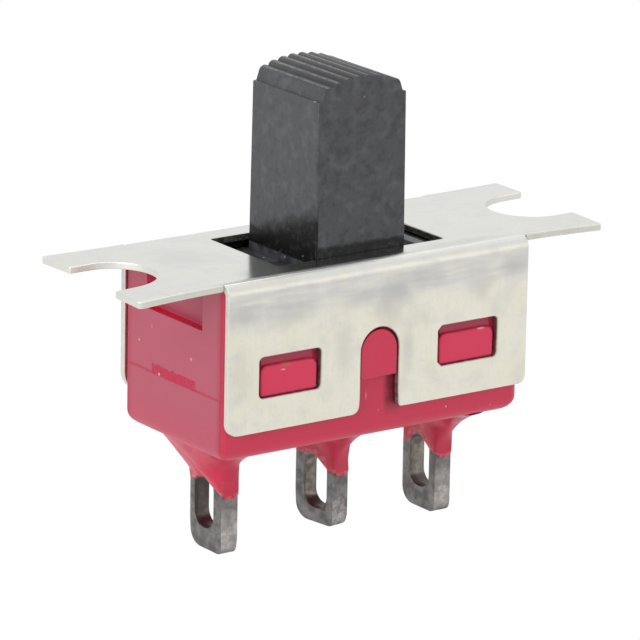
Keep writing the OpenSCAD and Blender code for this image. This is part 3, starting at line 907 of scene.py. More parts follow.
@dataclass(frozen=True)
class BlackResin(Finish):
    """Moulded black resin: mottled by handling, with painted shade at its foot and in its rib grooves and a
    painted highlight on its ridges.
    """

    body: Rgb = (0.050, 0.051, 0.056)
    dark: Rgb = (0.020, 0.020, 0.022)
    bloom: Rgb = (0.105, 0.107, 0.118)
    # pale grey for the painted highlight on the ridges and for the chipped edges
    pale_grey: Rgb = (0.22, 0.22, 0.225)
    # near black, for the painted shade at the foot and in the rib grooves and for a dark zone low on the left
    # face
    near_black: Rgb = (0.004, 0.004, 0.004)
    dust: Rgb = (0.50, 0.47, 0.40)
    # a lighter grey for the flange and the dish
    flange_grey: Rgb = (0.085, 0.090, 0.096)
    # painted highlight for the upper slope of the dish right of the post
    painted_lighting: Rgb = (0.38, 0.39, 0.385)
    half: Point = (1.9, 2.05, 6.5)
    crown_centre: float = 2.524
    rib_angle: float = 0.112
    shoulder: float = 5.64

    def mix(self, coat: Coat) -> None:
        """Lays on the mottling, the painted shade and highlight of the ribs, the chipped edges, the painted
        shade at the foot with a dark zone low on the left face, the flange's lighter grey, the painted
        highlight on the dish's slope and the dust.

        Args:
            coat: The material in the making.
        """
        x, y, z = coat.x, coat.y, coat.z
        blots = coat.clouds(3.6, 0.46, 0.70)
        on_front = abs(y).ramp(1.9, 2.0)
        coat.paint(blots * on_front.share(0.12, 0.62), self.dark)
        coat.paint(coat.clouds(6.0, 0.5, 0.75, (3.0, 8.0, 4.0)) * on_front.share(0.2, 0.45), self.dark)
        coat.paint(coat.clouds(2.0, 0.47, 0.72, (7.0, 3.0, 1.0)) * 0.5, self.bloom)
        turn = x.sum("ARCTAN2", z - self.crown_centre)
        last = abs(turn).ramp(3.75 * self.rib_angle, 3.65 * self.rib_angle)
        crown = z.ramp(5.6, 5.75) * abs(y).ramp(2.04, 2.0) * last
        from_rib = abs((turn / self.rib_angle + 20.0).sum("FRACT") - 0.5)
        ridge = from_rib.ramp(0.14, 0.02)
        # painted highlight: the ridges of the crown, broken by noise, which also makes them less rough
        pale_marks = ridge * crown * coat.grain(5.0, 4.0).ramp(0.35, 0.65)
        # painted shade: the crown between the ridges
        coat.paint(crown * (1.0 - ridge) * 0.8, self.dark)
        coat.paint(pale_marks * 0.5, self.pale_grey)
        # painted shade: the bottoms of the rib grooves are painted near black
        coat.paint(from_rib.ramp(0.40, 0.49) * crown * 0.8, self.near_black)
        chipped = coat.edge_band(ORIGIN, self.half, 0.05) * coat.grain(6.0, 5.0).ramp(0.5, 0.62)
        coat.paint(chipped * z.ramp(3.5, 5.4, 0.1, 0.8), self.pale_grey)
        # painted shade at the foot of the post, and a dark wavy zone low on its left face; both are near
        # black and less shiny
        on_left = x.ramp(-1.8, -1.88)
        wavy = 0.85 - y * 0.36 + (coat.grain(1.6, 5.0) - 0.5) * 1.1
        foot = z + (coat.grain(3.0, 4.0) - 0.5) * 0.25
        near_black = (on_left * (z - wavy).ramp(0.55, -0.5)).at_least(foot.ramp(0.48, 0.28) * 0.9)
        near_black = near_black * coat.grain(4.5, 4.0).ramp(0.25, 0.5, 0.65, 1.0)
        coat.paint(near_black, self.near_black)
        # the flange and the dish below the plate are painted a lighter, grainy grey
        coat.paint(z.ramp(-0.2, -0.3) * coat.grain(2.2, 4.0).ramp(0.35, 0.65, 0.35, 1.0), self.flange_grey)
        # the lower slope and the dish floor right of the post are painted darker, below the painted highlight
        coat.paint(z.ramp(-0.43, -0.46) * x.ramp(2.0, 2.3) * 0.7, self.dark)
        # painted highlight: a pale stripe on the upper half of the dish's right slope
        lit = z.ramp(-0.47, -0.43) * y.ramp(-1.9, -0.9, 0.25, 1.0)
        coat.paint(x.band(3.16, 3.2, 3.5, 3.54) * lit, self.painted_lighting)
        dots = coat.use(Specks, Scale=4.2, Share=0.3) * coat.grain(1.3, 1.0).ramp(0.5, 0.58)
        dusty = z.ramp(1.5, 0.7) * (on_left * 0.85 + 0.05)
        coat.paint(dots * dusty.at_least(abs(z - self.shoulder).ramp(0.05, 0.02) * 0.8), self.dust)
        coat.feed(coat.shader.inputs["Specular IOR Level"], near_black.share(0.5, 0.22))
        coat.gloss(blots * 0.10 + 0.42 - pale_marks * 0.12)
        coat.bump(coat.grain(3.0, 5.0) + coat.grain(16.0) * 0.4, 0.5, 0.03)


@dataclass(frozen=True)
class TarnishedLug(Finish):
    """Dull tinned brass, grey with tarnish, darker inside its eyelet and rubbed pale near its tip."""

    body: Rgb = (0.20, 0.195, 0.187)
    dark: Rgb = (0.095, 0.093, 0.090)
    pale_marks: Rgb = (0.50, 0.475, 0.455)
    eyelet_dark: Rgb = (0.075, 0.055, 0.045)
    beige: Rgb = (0.29, 0.265, 0.225)
    pitch: float = 4.7
    left_shift: float = 0.16

    def mix(self, coat: Coat) -> None:
        """Lays on the tarnish, the rubbed tip, the darker inner walls of each eyelet and a painted highlight
        on their far side.

        Args:
            coat: The material in the making.
        """
        x, y, z = coat.x, coat.y, coat.z
        cloud = coat.clouds(2.4, 0.35, 0.65)
        coat.paint(cloud * 0.75, self.dark)
        coat.paint(coat.clouds(7.0, 0.45, 0.75, (4.0, 1.0, 6.0)) * 0.45, self.dark)
        on_edge = abs(y).ramp(0.94, 1.0)
        patches = coat.clouds(2.2, 0.42, 0.62, (1.0, 6.0, 3.0))
        crumbs = coat.clouds(8.0, 0.38, 0.62, (8.0, 2.0, 5.0))
        low = z.ramp(-8.8, -9.6, 0.1, 1.0) * z.ramp(-10.75, -10.4, 0.2, 1.0)
        pale_marks = patches * (crumbs * 0.6 + 0.4) * (on_edge.at_least(0.16) * low)
        coat.paint(pale_marks * 0.85, self.pale_marks)
        coat.paint(on_edge * low * abs(x).ramp(2.5, 3.0, 0.12, 0.42), self.pale_marks)
        from_middle = abs(y - x.ramp(-3.0, -2.5, self.left_shift, 0.0))
        from_lug = abs(x - (x / self.pitch).sum("ROUND") * self.pitch)
        # the inner walls of each eyelet are painted darker
        inside = from_middle.ramp(0.64, 0.60) * z.ramp(-10.05, -9.98) * from_lug.ramp(0.33, 0.30)
        coat.paint(inside * 0.75, self.eyelet_dark)
        # painted highlight: a beige glint on the far inner wall of the eyelets
        glint = inside * (y.ramp(0.5, 0.56) * x.ramp(-3.0, 0.0))
        coat.paint(glint * coat.grain(3.0, 4.0).ramp(0.35, 0.6, 0.3, 0.9), self.beige)
        coat.gloss(cloud * 0.2 + 0.36, metallic=cloud.share(0.85, 0.65))
        coat.bump(coat.grain(3.5, 5.0) + pale_marks * 0.4, 0.6, 0.04)


@dataclass(frozen=True)
class PlainMetal(Finish):
    """Clean metal for the parts inside, with faint drawn lines."""

    shade: Rgb = (0.5, 0.5, 0.5)
    roughness: float = 0.3

    def mix(self, coat: Coat) -> None:
        """Lays on clouds and drawn lines.

        Args:
            coat: The material in the making.
        """
        cloud = coat.clouds(2.0, 0.35, 0.7)
        lines = coat.streaks((0.2, 1.0, 1.0), 12.0)
        coat.paint((cloud + lines.ramp(0.45, 0.7)) * 0.4, self.shade)
        coat.gloss(cloud * 0.1 + self.roughness, metallic=1.0)
        coat.bump(lines, 0.3, 0.01)


@dataclass(frozen=True)
class PaleAcetal(Finish):
    """Pale natural acetal for the plunger."""

    body: Rgb = (0.78, 0.76, 0.68)
    shade: Rgb = (0.66, 0.63, 0.54)

    def mix(self, coat: Coat) -> None:
        """Lays on faint clouds.

        Args:
            coat: The material in the making.
        """
        cloud = coat.clouds(3.0, 0.35, 0.7)
        coat.paint(cloud * 0.4, self.shade)
        coat.gloss(cloud * 0.1 + 0.35)


# ------------------------------------------------------------------ bracket


@dataclass
class FoldedBracket(Part):
    """The sheet-steel bracket, cut flat with all its holes and then folded into a channel."""

    name, node, slot, crisp = "bracket_sheet", "bracket", "plated_steel", 20.0
    sheet: float = 0.25
    bend: float = 0.45
    bend_steps: int = 10
    wall_half: float = 6.5
    ear_inset: float = 0.24
    relief: Pair = (0.07, 0.08)
    slot_half: float = 1.6
    slot_depth: float = 2.43
    opening_half: Pair = (3.6, 2.13)
    opening_shift: Pair = (0.06, 0.03)
    opening_r: float = 0.12
    window_x: float = 3.86
    window_half: float = 1.315
    window_top: float = 2.78
    window_height: float = 1.5
    window_r: float = 0.18
    chamfer: float = 0.17
    arch_half: float = 0.83
    arch_top: float = 2.42
    rim: float = 0.035
    low_corners: dict[tuple[int, int], float] = field(default_factory=lambda: {
        (-1, -1): 0.45, (-1, 1): 0.75, (1, -1): 0.3, (1, 1): 0.3,
    })
    ears: dict[tuple[int, int], tuple[Pair, Pair]] = field(default_factory=lambda: {
        (-1, -1): ((0.10, -0.08), (0.10, -0.12)),
        (-1, 1): ((-0.11, -0.02), (0.11, 0.05)),
        (1, -1): ((-0.09, 0.02), (0.10, -0.10)),
        (1, 1): ((0.04, 0.03), (0.04, 0.03)),
    })

    def shape(self) -> None:
        """Cuts and folds the bracket."""
        self.half_x, self.half_y, self.depth = self.box.hi.x, self.box.hi.y, -self.box.lo.z
        self.flat = self.half_y - self.bend
        self.bend_length = (self.bend - self.sheet / 2) * math.pi / 2
        self._outline()
        self._holes()
        self.thicken(self.sheet)
        self._mark_rims()
        self._fold()
        self._bend_ears()

    def _unrolled(self, depth: float) -> float:
        """Gives the distance from the middle of the blank to a depth on the folded wall."""
        return self.flat + self.bend_length + depth - self.bend

    def _outline(self) -> None:
        """Draws the blank's outline on the plane z = 0, a quarter at a time."""
        ear = self.half_y - self.ear_inset
        nick_x, nick_y = self.wall_half + self.relief[0], ear - self.relief[1]
        edge, crown = self._unrolled(self.depth), self._unrolled(self.arch_top)
        slot, arch = self.slot_half, self.arch_half
        outline: list[Corner] = []
        for side_x, side_y in ((1, 1), (-1, 1), (-1, -1), (1, -1)):
            ahead = side_x * side_y > 0
            quarter = [
                (self.half_x - self.slot_depth, slot, slot), (self.half_x, slot, 0.07),
                (self.half_x, ear, 0.16), (nick_x, ear, 0.05), (nick_x, nick_y, 0.06),
                (self.wall_half, nick_y, 0.06), (self.wall_half, edge, self.low_corners[side_x, side_y]),
                (arch + 0.05, edge, 0.26 if ahead else 0.1), (arch, edge - 0.5, 0.2), (arch, crown, arch),
            ]
            corners = [(side_x * x, side_y * y, r) for x, y, r in quarter]
            outline += corners if ahead else corners[::-1]
        self.ring(outline)

    def _holes(self) -> None:
        """Draws the button's opening, and the windows for the latches, on the plane z = 0."""
        (shift_x, shift_y), (half_x, half_y) = self.opening_shift, self.opening_half
        across, along = (shift_x - half_x, shift_x + half_x), (shift_y - half_y, shift_y + half_y)
        self.oblong(across, along, self.opening_r)
        near, far = self._unrolled(self.window_top), self._unrolled(self.window_top + self.window_height)
        big, small, cut = self.window_r, 0.03, self.chamfer
        for side_y in SIDES:
            low, high = sorted((side_y * near, side_y * far))
            left, right = -self.window_x - self.window_half, -self.window_x + self.window_half
            self.oblong((left, right), (low, high), big)
            left, right = self.window_x - self.window_half, self.window_x + self.window_half
            self.ring([
                (left + cut, low, small), (right, low, big), (right, high, big),
                (left + cut, high, small), (left, high - cut, small), (left, low + cut, small),
            ])

    def _mark_rims(self) -> None:
        """Rounds the cut edges and marks the faces of the cut itself as its rim."""
        layer = self.bm.faces.layers.float.new("rim")
        for face in self.bm.faces:
            face[layer] = 1.0 if abs(face.normal.z) < 0.5 else 0.0
        edges = [
            edge for edge in self.bm.edges if len(edge.link_faces) == 2 and edge.calc_face_angle(0) > 1.0
            and abs(edge.verts[0].co.z - edge.verts[1].co.z) < 1e-5
        ]
        for face in self.bevel(edges, self.rim, 2, False):
            face[layer] = 0.35

    def _fold(self) -> None:
        """Bends both walls down round their bends."""
        for step in range(self.bend_steps + 1):
            for side in SIDES:
                self.cut(Axis.Y, side * (self.flat + self.bend_length * step / self.bend_steps))
        for vert in self.bm.verts:
            reach = abs(vert.co.y) - self.flat
            if reach <= 0 or abs(vert.co.x) > self.wall_half + 0.01:
                continue
            radius = self.bend + vert.co.z
            turn = min(reach / self.bend_length, 1.0) * math.pi / 2
            drop = max(reach - self.bend_length, 0.0)
            y = self.flat + radius * math.sin(turn)
            vert.co = (vert.co.x, math.copysign(y, vert.co.y), -self.bend + radius * math.cos(turn) - drop)

    def _bend_ears(self) -> None:
        """Bends and stretches the tips of the ears a little, as shearing and handling have."""
        start, edge = self.wall_half + 0.3, self.slot_half
        for side in SIDES:
            for step in range(7):
                self.cut(Axis.X, side * (start + 0.45 * step))
        for vert in self.bm.verts:
            reach = (abs(vert.co.x) - start) / (self.half_x - start)
            if reach <= 0 or vert.co.z < -self.sheet - 0.01:
                continue
            side_x, side_y = math.copysign(1, vert.co.x), math.copysign(1, vert.co.y)
            (in_x, in_z), (out_x, out_z) = self.ears[side_x, side_y]
            outer = within((abs(vert.co.y) - edge) / (self.half_y - self.ear_inset - edge))
            fade = reach ** 1.6 * min(1.0, abs(vert.co.y) / edge)
            vert.co.x += side_x * (in_x + (out_x - in_x) * outer) * fade
            vert.co.z += (in_z + (out_z - in_z) * outer) * fade


# ------------------------------------------------------------------ case and seal

PITCH = 4.7
"""The distance from one terminal to the next."""

CENTRE_TURN = 8.0
"""How far the centre terminal is twisted under the case, in degrees."""


def case_floor() -> float:
    """Gives the height of the case's floor, which the end terminals' flat heads lie on."""
    return Box.of("end_terminal_left").hi.z - 2 * SolderLug.half_x


@dataclass
class MouldedCase(Part):
    """The moulded case, open at the top, with four latches and two arch-topped bosses."""

    name, node, slot = "moulded_case", "case", "case_resin"
    wall: float = 0.6
    clearance: float = 0.32
    left_r: float = 0.22
    right_r: float = 0.42
    low_r: float = 0.5
    top_r: float = 0.15
    ledge: float = 1.95
    chamber_half: Pair = (5.35, 1.7)
    recess_rim: float = 0.7
    recess_depth: float = 0.45
    pocket_half: float = 1.75
    pocket_depth: float = 0.4
    pocket_floor: float = 2.0
    pocket_r: float = 0.04
    cavity_half_x: float = 5.55
    slot_half: Pair = (0.37, 1.06)
    rooted: float = 0.1
    latch_x: float = 3.86
    latch_half: float = 1.215
    latch_top: float = 2.78
    latch_foot: float = 4.28
    latch_ledge: float = 3.13
    latch_step: float = 0.17
    latch_lead: float = 0.1
    latch_r: float = 0.13
    boss_half: float = 0.79
    boss_top: float = 2.52
    boss_r: float = 0.11

    def shape(self) -> None:
        """Builds the case up from its plan, and sets the latches and bosses on its walls."""
        self.half_x, self.out_y = self.box.hi.x, self.box.hi.y
        self.half_y = Box.of("bracket").hi.y - self.clearance
        self.top, self.bottom = self.box.hi.z, self.box.lo.z
        self.floor = case_floor()
        self._block()
        self._cavities()
        self._slots()
        self._round_edges()
        for side in SIDES:
            for end in SIDES:
                self.add(self._latch(end, side))
            self.add(self._boss(side))

    def _block(self) -> None:
        """Extrudes the plan up to the screw reliefs, and the rest of it up to the top."""
        foot, inner = -self.pocket_floor, self.half_x - self.pocket_depth
        radii = (self.left_r, self.right_r, self.right_r, self.left_r)
        self.oblong((-self.half_x, self.half_x), (-self.half_y, self.half_y), *radii)
        self.thicken(foot - self.bottom)
        self.shift((0, 0, foot))
        for side in SIDES:
            self.cut(Axis.X, side * inner, self.level(foot))
            self.cut(Axis.Y, side * self.pocket_half, self.level(foot))
        rising = self.level(foot, lambda centre: abs(centre.x) < inner or abs(centre.y) > self.pocket_half)
        self.draw_out(rising, (0, 0, self.top - foot))

    def _cavities(self) -> None:
        """Presses in the two chambers and the seal's recess."""
        self.sink(self.top, (self.cavity_half_x, self.half_y - self.wall), -self.ledge)
        self.sink(-self.ledge, self.chamber_half, self.floor)
        recess = (self.half_x - self.recess_rim, self.half_y - self.recess_rim)
        self.sink(self.bottom, recess, self.bottom + self.recess_depth)

    def _slots(self) -> None:
        """Opens the terminals' slots from the chamber's floor to the recess."""
        half_x, half_y = self.slot_half
        for place in (-PITCH, 0.0, PITCH):
            rims: list[Edge] = []
            for z in (self.floor, self.bottom + self.recess_depth):
                for side in SIDES:
                    self.cut(Axis.X, place + side * half_x, self.level(z))
                    self.cut(Axis.Y, side * half_y, self.level(z, lambda c: abs(c.x - place) < half_x))
                holes = self.level(z, lambda c: abs(c.x - place) < half_x and abs(c.y) < half_y)
                rims += dict.fromkeys(edge for hole in holes for edge in hole.edges)
                bmesh.ops.delete(self.bm, geom=holes, context="FACES_ONLY")
            bmesh.ops.bridge_loops(self.bm, edges=rims)
        self.face_out()

    def _round_edges(self) -> None:
        """Rounds the lower edges, the long upper edges and the rims of the reliefs."""
        for step in range(7):
            height = self.low_r * (1 - math.cos(math.radians(15 * step)))
            self.cut(Axis.Z, self.bottom + height)
        for vert in self.bm.verts:
            height = vert.co.z - self.bottom
            outer = abs(vert.co.x) > self.half_x - self.wall or abs(vert.co.y) > self.half_y - self.wall
            if outer and height < self.low_r:
                inset = self.low_r - math.sqrt(max(0.0, self.low_r ** 2 - (self.low_r - height) ** 2))
                vert.co.x *= 1 - inset / self.half_x
                vert.co.y *= 1 - inset / self.half_y
        long, inner = self.half_y - 0.01, self.half_x - self.pocket_depth - 0.01
        self.round(
            lambda a, b: min(a.z, b.z) > self.top - NEAR and min(abs(a.y), abs(b.y)) > long, self.top_r, 4
        )
        self.round(
            lambda a, b: min(abs(a.x), abs(b.x)) > inner and min(a.z, b.z) > -self.pocket_floor - 0.01
            and max(abs(a.y), abs(b.y)) < self.pocket_half + 0.01,
            self.pocket_r, 2,
        )

    def _latch(self, end: int, side: int) -> Shape:
        """Builds one latch: a square face, and behind its upper edge a ramp that leads the sheet over it.

        Args:
            end: -1 for the left end, 1 for the right.
            side: -1 for the front wall, 1 for the back.

        Returns:
            Its mesh.
        """
        left, right = (-end * side * self.latch_x + way * self.latch_half for way in SIDES)
        depth = self.out_y - 0.03 - self.half_y + self.rooted
        latch = Shape()
        latch.oblong((left, right), (-self.latch_foot, -self.latch_ledge), 0.12, 0.12, 0.3, 0.3)
        latch.thicken(depth)
        latch.round(above(-NEAR), self.latch_r, 5)
        ramp, inset, ramp_top = Shape(), 0.12, 0.25 - self.latch_top
        ramp.oblong((left + inset, right - inset), (0.2 - self.latch_foot, ramp_top), 0.08)
        ramp.thicken(depth - self.latch_step)
        ramp.shift((0, 0, -self.latch_step))
        ramp.cut(Axis.Y, -self.latch_ledge)
        for vert in ramp.bm.verts:
            share = (vert.co.y + self.latch_ledge) / (ramp_top + self.latch_ledge)
            if vert.co.z > -self.latch_step - 0.01 and share > 0:
                vert.co.z -= self.latch_lead * share
        latch.add(ramp)
        return self._on_wall(latch, side)

    def _boss(self, side: int) -> Shape:
        """Builds the arch-topped boss of one wall.

        Args:
            side: -1 for the front wall, 1 for the back.

        Returns:
            Its mesh.
        """
        boss, half = Shape(), self.boss_half
        boss.oblong((-half, half), (-self.latch_foot, -self.boss_top), 0.06, 0.06, half, half)
        boss.thicken(self.out_y - self.half_y + self.rooted)
        boss.round(above(-NEAR), self.boss_r, 5)
        return self._on_wall(boss, side)

    def _on_wall(self, relief: Shape, side: int) -> Shape:
        """Stands a relief drawn on z = 0 against a wall.

        Args:
            relief: The relief.
            side: -1 for the front wall, 1 for the back.

        Returns:
            The same relief.
        """
        relief.stand(self.rooted - self.half_y + min(vert.co.z for vert in relief.bm.verts))
        if side > 0:
            relief.transform(Matrix.Rotation(math.pi, 4, "Z"))
        relief.face_out()
        return relief


@dataclass(frozen=True)
class Fillet:
    """How the seal climbs down one terminal.

    Each side has its reach past the blade and how sharply it falls; the depths are of the lowest
    point of the tongue on the front edge, of the skin beside it, of the arch over the eyelet and
    of the skin on the back edge; the turn is the terminal's own, in degrees.
    """

    place: float
    left: Pair
    right: Pair
    front: Pair
    back: Pair
    start: float
    tongue: float
    shoulder: float
    arch: float
    far: float
    turn: float = 0.0


@dataclass
class PottedSeal(Part):
    """The seal that fills the recess under the case and climbs down each terminal."""

    name, node, slot = "potted_seal", "epoxy_seal", "seal_epoxy"
    recess_half: Pair = (5.82, 2.42)
    recess_depth: float = 0.45
    blade_half: Pair = (0.33, 1.02)
    skin: float = 0.045
    levels: int = 20
    segments: int = 96
    fillets: tuple[Fillet, ...] = (
        Fillet(-PITCH, (1.3, 1.1), (3.4, 4.2), (1.9, 3.2), (1.8, 1.3), 0.2, -8.7, -8.42, -8.05, -8.3),
        Fillet(
            0.0, (0.9, 3.4), (1.5, 2.7), (1.5, 2.7), (0.9, 2.4), 0.02, -8.62, -8.42, -7.95, -8.05, CENTRE_TURN
        ),
        Fillet(PITCH, (0.9, 3.2), (1.0, 1.4), (1.8, 2.5), (0.9, 2.4), 0.02, -8.67, -8.42, -7.9, -8.4),
    )

    def shape(self) -> None:
        """Fills the recess, and draws the seal down the terminals."""
        self.top = Box.of("case").lo.z
        half_x, half_y = self.recess_half
        self.oblong((-half_x, half_x), (-half_y, half_y), 0.0)
        self.thicken(self.recess_depth)
        self.shift((0, 0, self.top + self.recess_depth - 0.005))
        for name in ("rim", "crease"):
            self.bm.faces.layers.float.new(name)
        for fillet in self.fillets:
            self.add(self._climb(fillet))

    def _climb(self, fillet: Fillet) -> Shape:
        """Draws the seal down one terminal in a hollow curve that ends in a thin skin.

        Args:
            fillet: Its reach on each side.

        Returns:
            The fillet's mesh.
        """
        part = Shape()
        bm = part.bm
        bmesh.ops.create_circle(bm, cap_ends=False, segments=self.segments, radius=1.0)
        loop = bm.edges[:]
        layers = [list(bm.verts)]
        for _ in range(self.levels):
            result = bmesh.ops.extrude_edge_only(bm, edges=loop)
            loop = made(result, Edge)
            layers.append(made(result, Vert))
        for level, verts in enumerate(layers):
            for vert in verts:
                self._draw_down(vert, fillet, level / self.levels)
        rim, crease = (bm.faces.layers.float.new(name) for name in ("rim", "crease"))
        blade_x, blade_y = self.blade_half
        for face in bm.faces:
            point = face.calc_center_median() - Vector((fillet.place, 0, 0))
            face[rim] = 1.0 if point.z < self._end(point.x, point.y, fillet) + 0.1 else 0.0
            on_corner = point.x < -blade_x and point.y < -blade_y - 0.01
            face[crease] = 1.0 if on_corner and point.z < fillet.tongue + 0.75 else 0.0
        for share in (0.85, 0.5):
            result = bmesh.ops.extrude_edge_only(bm, edges=loop)
            loop = made(result, Edge)
            for vert in made(result, Vert):
                vert.co.x = fillet.place + (vert.co.x - fillet.place) * share
                vert.co.y *= share
                if share < 0.85:
                    vert.co.z = self.top + fillet.start
        bmesh.ops.bridge_loops(bm, edges=[edge for edge in bm.edges if edge.is_boundary])
        turn = Matrix.Rotation(math.radians(fillet.turn), 4, "Z")
        bmesh.ops.rotate(bm, cent=(fillet.place, 0, 0), matrix=turn, verts=bm.verts[:])
        part.face_out()
        return part

    def _end(self, x: float, y: float, fillet: Fillet) -> float:
        """Gives the depth at which the seal's skin ends.

        Args:
            x: How far across from the blade's middle.
            y: How far along from it.
            fillet: The fillet.

        Returns:
            The height of the skin's end.
        """
        blade_x, blade_y = self.blade_half
        lip = fillet.tongue + 0.18 * min(1.0, abs(x) / blade_x) ** 4
        if y < -blade_y:
            return lip
        share = within((y + 0.8) / 0.45)
        side = fillet.shoulder + (fillet.arch - fillet.shoulder) * share * share * (3 - 2 * share)
        side += (fillet.far - side) * within((y - 0.5) / 0.3)
        return lip + (side - lip) * within((y + blade_y) / 0.2)

    def _draw_down(self, vert: Vert, fillet: Fillet, share: float) -> None:
        """Moves a vertex of one level out to the fillet's curve.

        Args:
            vert: The vertex, still on a circle.
            fillet: The fillet it belongs to.
            share: How far down the fillet its level is, from 0 to 1.
        """
        across, along = vert.co.x, vert.co.y
        blade_x, blade_y = (half + self.skin for half in self.blade_half)
        reach_x, power_x = fillet.left if across < 0 else fillet.right
        reach_y, power_y = fillet.front if along < 0 else fillet.back
        half_x = blade_x + reach_x * (1 - share) ** power_x
        half_y = blade_y + reach_y * (1 - share) ** power_y
        shape, share_x, share_y = 2.2, self.blade_half[0] / half_x, self.blade_half[1] / half_y
        while share_x ** shape + share_y ** shape > 0.88 and shape < 14:
            shape += 0.1

        def stretch(value: float, power: float) -> float:
            """Raises a number to a power and keeps its sign."""
            return math.copysign(abs(value) ** power, value)

        end = self._end(blade_x * stretch(across, 0.15), blade_y * stretch(along, 0.15), fillet)
        start = self.top + fillet.start
        wobble = 0.03 * noise.noise(Vector((fillet.place + across, along, 2 * share)) * 1.3) * share
        vert.co.x = fillet.place + (half_x + wobble) * stretch(across, 2 / shape)
        vert.co.y = (half_y + wobble) * stretch(along, 2 / shape)
        level = (fillet.shoulder + fillet.far) / 2
        vert.co.z = start + (level - start) * share + (end - level) * share ** 3


# ------------------------------------------------------------------ button and its spring


@dataclass
class SlideButton(Part):
    """The button: a ribbed post on a flange that slides under the bracket."""

    name, node, slot, body = "ribbed_button", "slide_button", "button_resin", "button"
    post_half: Pair = (1.9, 2.05)
    post_r: float = 0.07
    draft: float = 0.05
    shoulder: float = 5.64
    shoulder_width: float = 0.17
    shoulder_r: float = 0.03
    crown_r: float = 3.9
    rib_r: float = 0.24
    rib_pitch: float = 0.41
    ribs: int = 8
    cheek: float = math.radians(36)
    flange_half: Pair = (3.95, 2.45)
    flange_top: float = -0.33
    flange_r: float = 0.04
    dish_half: float = 3.2
    dish_slope: float = 0.3
    dish_depth: float = 0.27
    bore_r: float = 0.75
    bore_top: float = 3.0

    def shape(self) -> None:
        """Builds the post, and then the flange under it."""
        self.top, self.bottom = self.box.hi.z, self.box.lo.z
        self.dish = self.flange_top - self.dish_depth
        self._post(self.dish - 0.05)
        self.add(self._flange())

    def _outline(self, foot: float) -> None:
        """Draws the post's outline, with x across and y up, on the plane z = 0.

        Args:
            foot: The height of its lower side.
        """
        centre_y = self.top - self.crown_r
        middle_r = self.crown_r - self.rib_r
        step = self.rib_pitch / middle_r
        reach = math.asin(middle_r * math.sin(step / 2) / self.rib_r) + step / 2
        for index in range(self.ribs):
            lean = step * (index - (self.ribs - 1) / 2)
            start = self.cheek if index == 0 else reach
            stop = self.cheek if index == self.ribs - 1 else reach
            centre = Vector((middle_r * math.sin(lean), centre_y + middle_r * math.cos(lean), 0))
            arm = Vector((math.sin(lean - start), math.cos(lean - start), 0)) * self.rib_r
            geom = [self.bm.verts.new(centre + arm)]
            bmesh.ops.spin(self.bm, geom=geom, cent=centre, axis=(0, 0, -1), angle=start + stop, steps=8)
        bmesh.ops.remove_doubles(self.bm, verts=self.bm.verts[:], dist=1e-4)
        ends = sorted((v for v in self.bm.verts if len(v.link_edges) == 1), key=lambda v: v.co.x)
        side = self.post_half[0]
        right = [(side - self.shoulder_width, self.shoulder), (side, self.shoulder), (side, foot)]
        corners = right + [(-x, y) for x, y in reversed(right)]
        chain = [ends[-1]] + [self.bm.verts.new((x, y, 0)) for x, y in corners] + [ends[0]]
        for pair in zip(chain, chain[1:]):
            self.bm.edges.new(pair)

    def _post(self, foot: float) -> None:
        """Builds the post with its ribbed crown and the upper part of the bore.

        Args:
            foot: The height of its lower side.
        """
        half_x, half_y = self.post_half
        self._outline(foot)
        self.thicken(2 * half_y)
        self.stand(-half_y)
        self.face_out()
        for height in (1.4, 2.8, 4.2):
            self.cut(Axis.Z, foot + height)
        self.round(upright, self.post_r, 3)
        self.round(above(self.shoulder + 0.05), 0.02, 2)
        self.round(
            lambda a, b: max(abs(a.z - self.shoulder), abs(b.z - self.shoulder)) < 0.02
            and max(abs(a.x), abs(b.x)) > half_x - 0.1,
            self.shoulder_r, 2,
        )
        for vert in self.bm.verts:
            share = max(0.0, (self.shoulder - vert.co.z) / (self.shoulder - self.bottom))
            vert.co.x *= 1 + self.draft / half_x * share
            vert.co.y *= 1 + self.draft / half_y * share
        result = bmesh.ops.extrude_edge_only(self.bm, edges=self._hole(self, foot))
        self.shift((0, 0, self.bore_top - foot), made(result, Vert))
        bmesh.ops.edgeloop_fill(self.bm, edges=made(result, Edge))
        self.face_out()

    def _hole(self, part: Shape, height: float) -> list[Edge]:
        """Opens the bore's round hole in the level faces at one height.

        Args:
            part: The mesh.
            height: The faces' height.

        Returns:
            The hole's edges.
        """
        faces = part.level(height)
        around = (edge for face in faces for edge in face.edges)
        edges = [edge for edge in around if sum(face in faces for face in edge.link_faces) == 1]
        bmesh.ops.delete(part.bm, geom=faces, context="FACES_KEEP_BOUNDARY")
        place = Matrix.Translation((0, 0, height))
        result = bmesh.ops.create_circle(
            part.bm, cap_ends=False, segments=32, radius=self.bore_r, matrix=place
        )
        circle = [*dict.fromkeys(edge for vert in result["verts"] for edge in vert.link_edges)]
        bmesh.ops.triangle_fill(part.bm, use_beauty=True, edges=edges + circle)
        return circle

    def _flange(self) -> Shape:
        """Builds the flange with its shallow dish round the post.

        Returns:
            Its mesh.
        """
        half_x, half_y = self.flange_half
        flange = Shape()
        flange.oblong((-half_x, half_x), (-half_y, half_y), 0.2)
        flange.thicken(self.flange_top - self.bottom)
        flange.shift((0, 0, self.flange_top))
        for side in SIDES:
            for x in (self.dish_half, self.dish_half + self.dish_slope):
                flange.cut(Axis.X, side * x)
        for vert in flange.bm.verts:
            if vert.co.z > self.flange_top - 1e-4 and abs(vert.co.x) < self.dish_half + 0.01:
                vert.co.z -= self.dish_depth
        flange.bm.normal_update()
        flange.round(above(self.dish - NEAR), self.flange_r, 2)
        rims = self._hole(flange, self.bottom) + self._hole(flange, self.dish)
        bmesh.ops.bridge_loops(flange.bm, edges=rims)
        flange.face_out()
        return flange


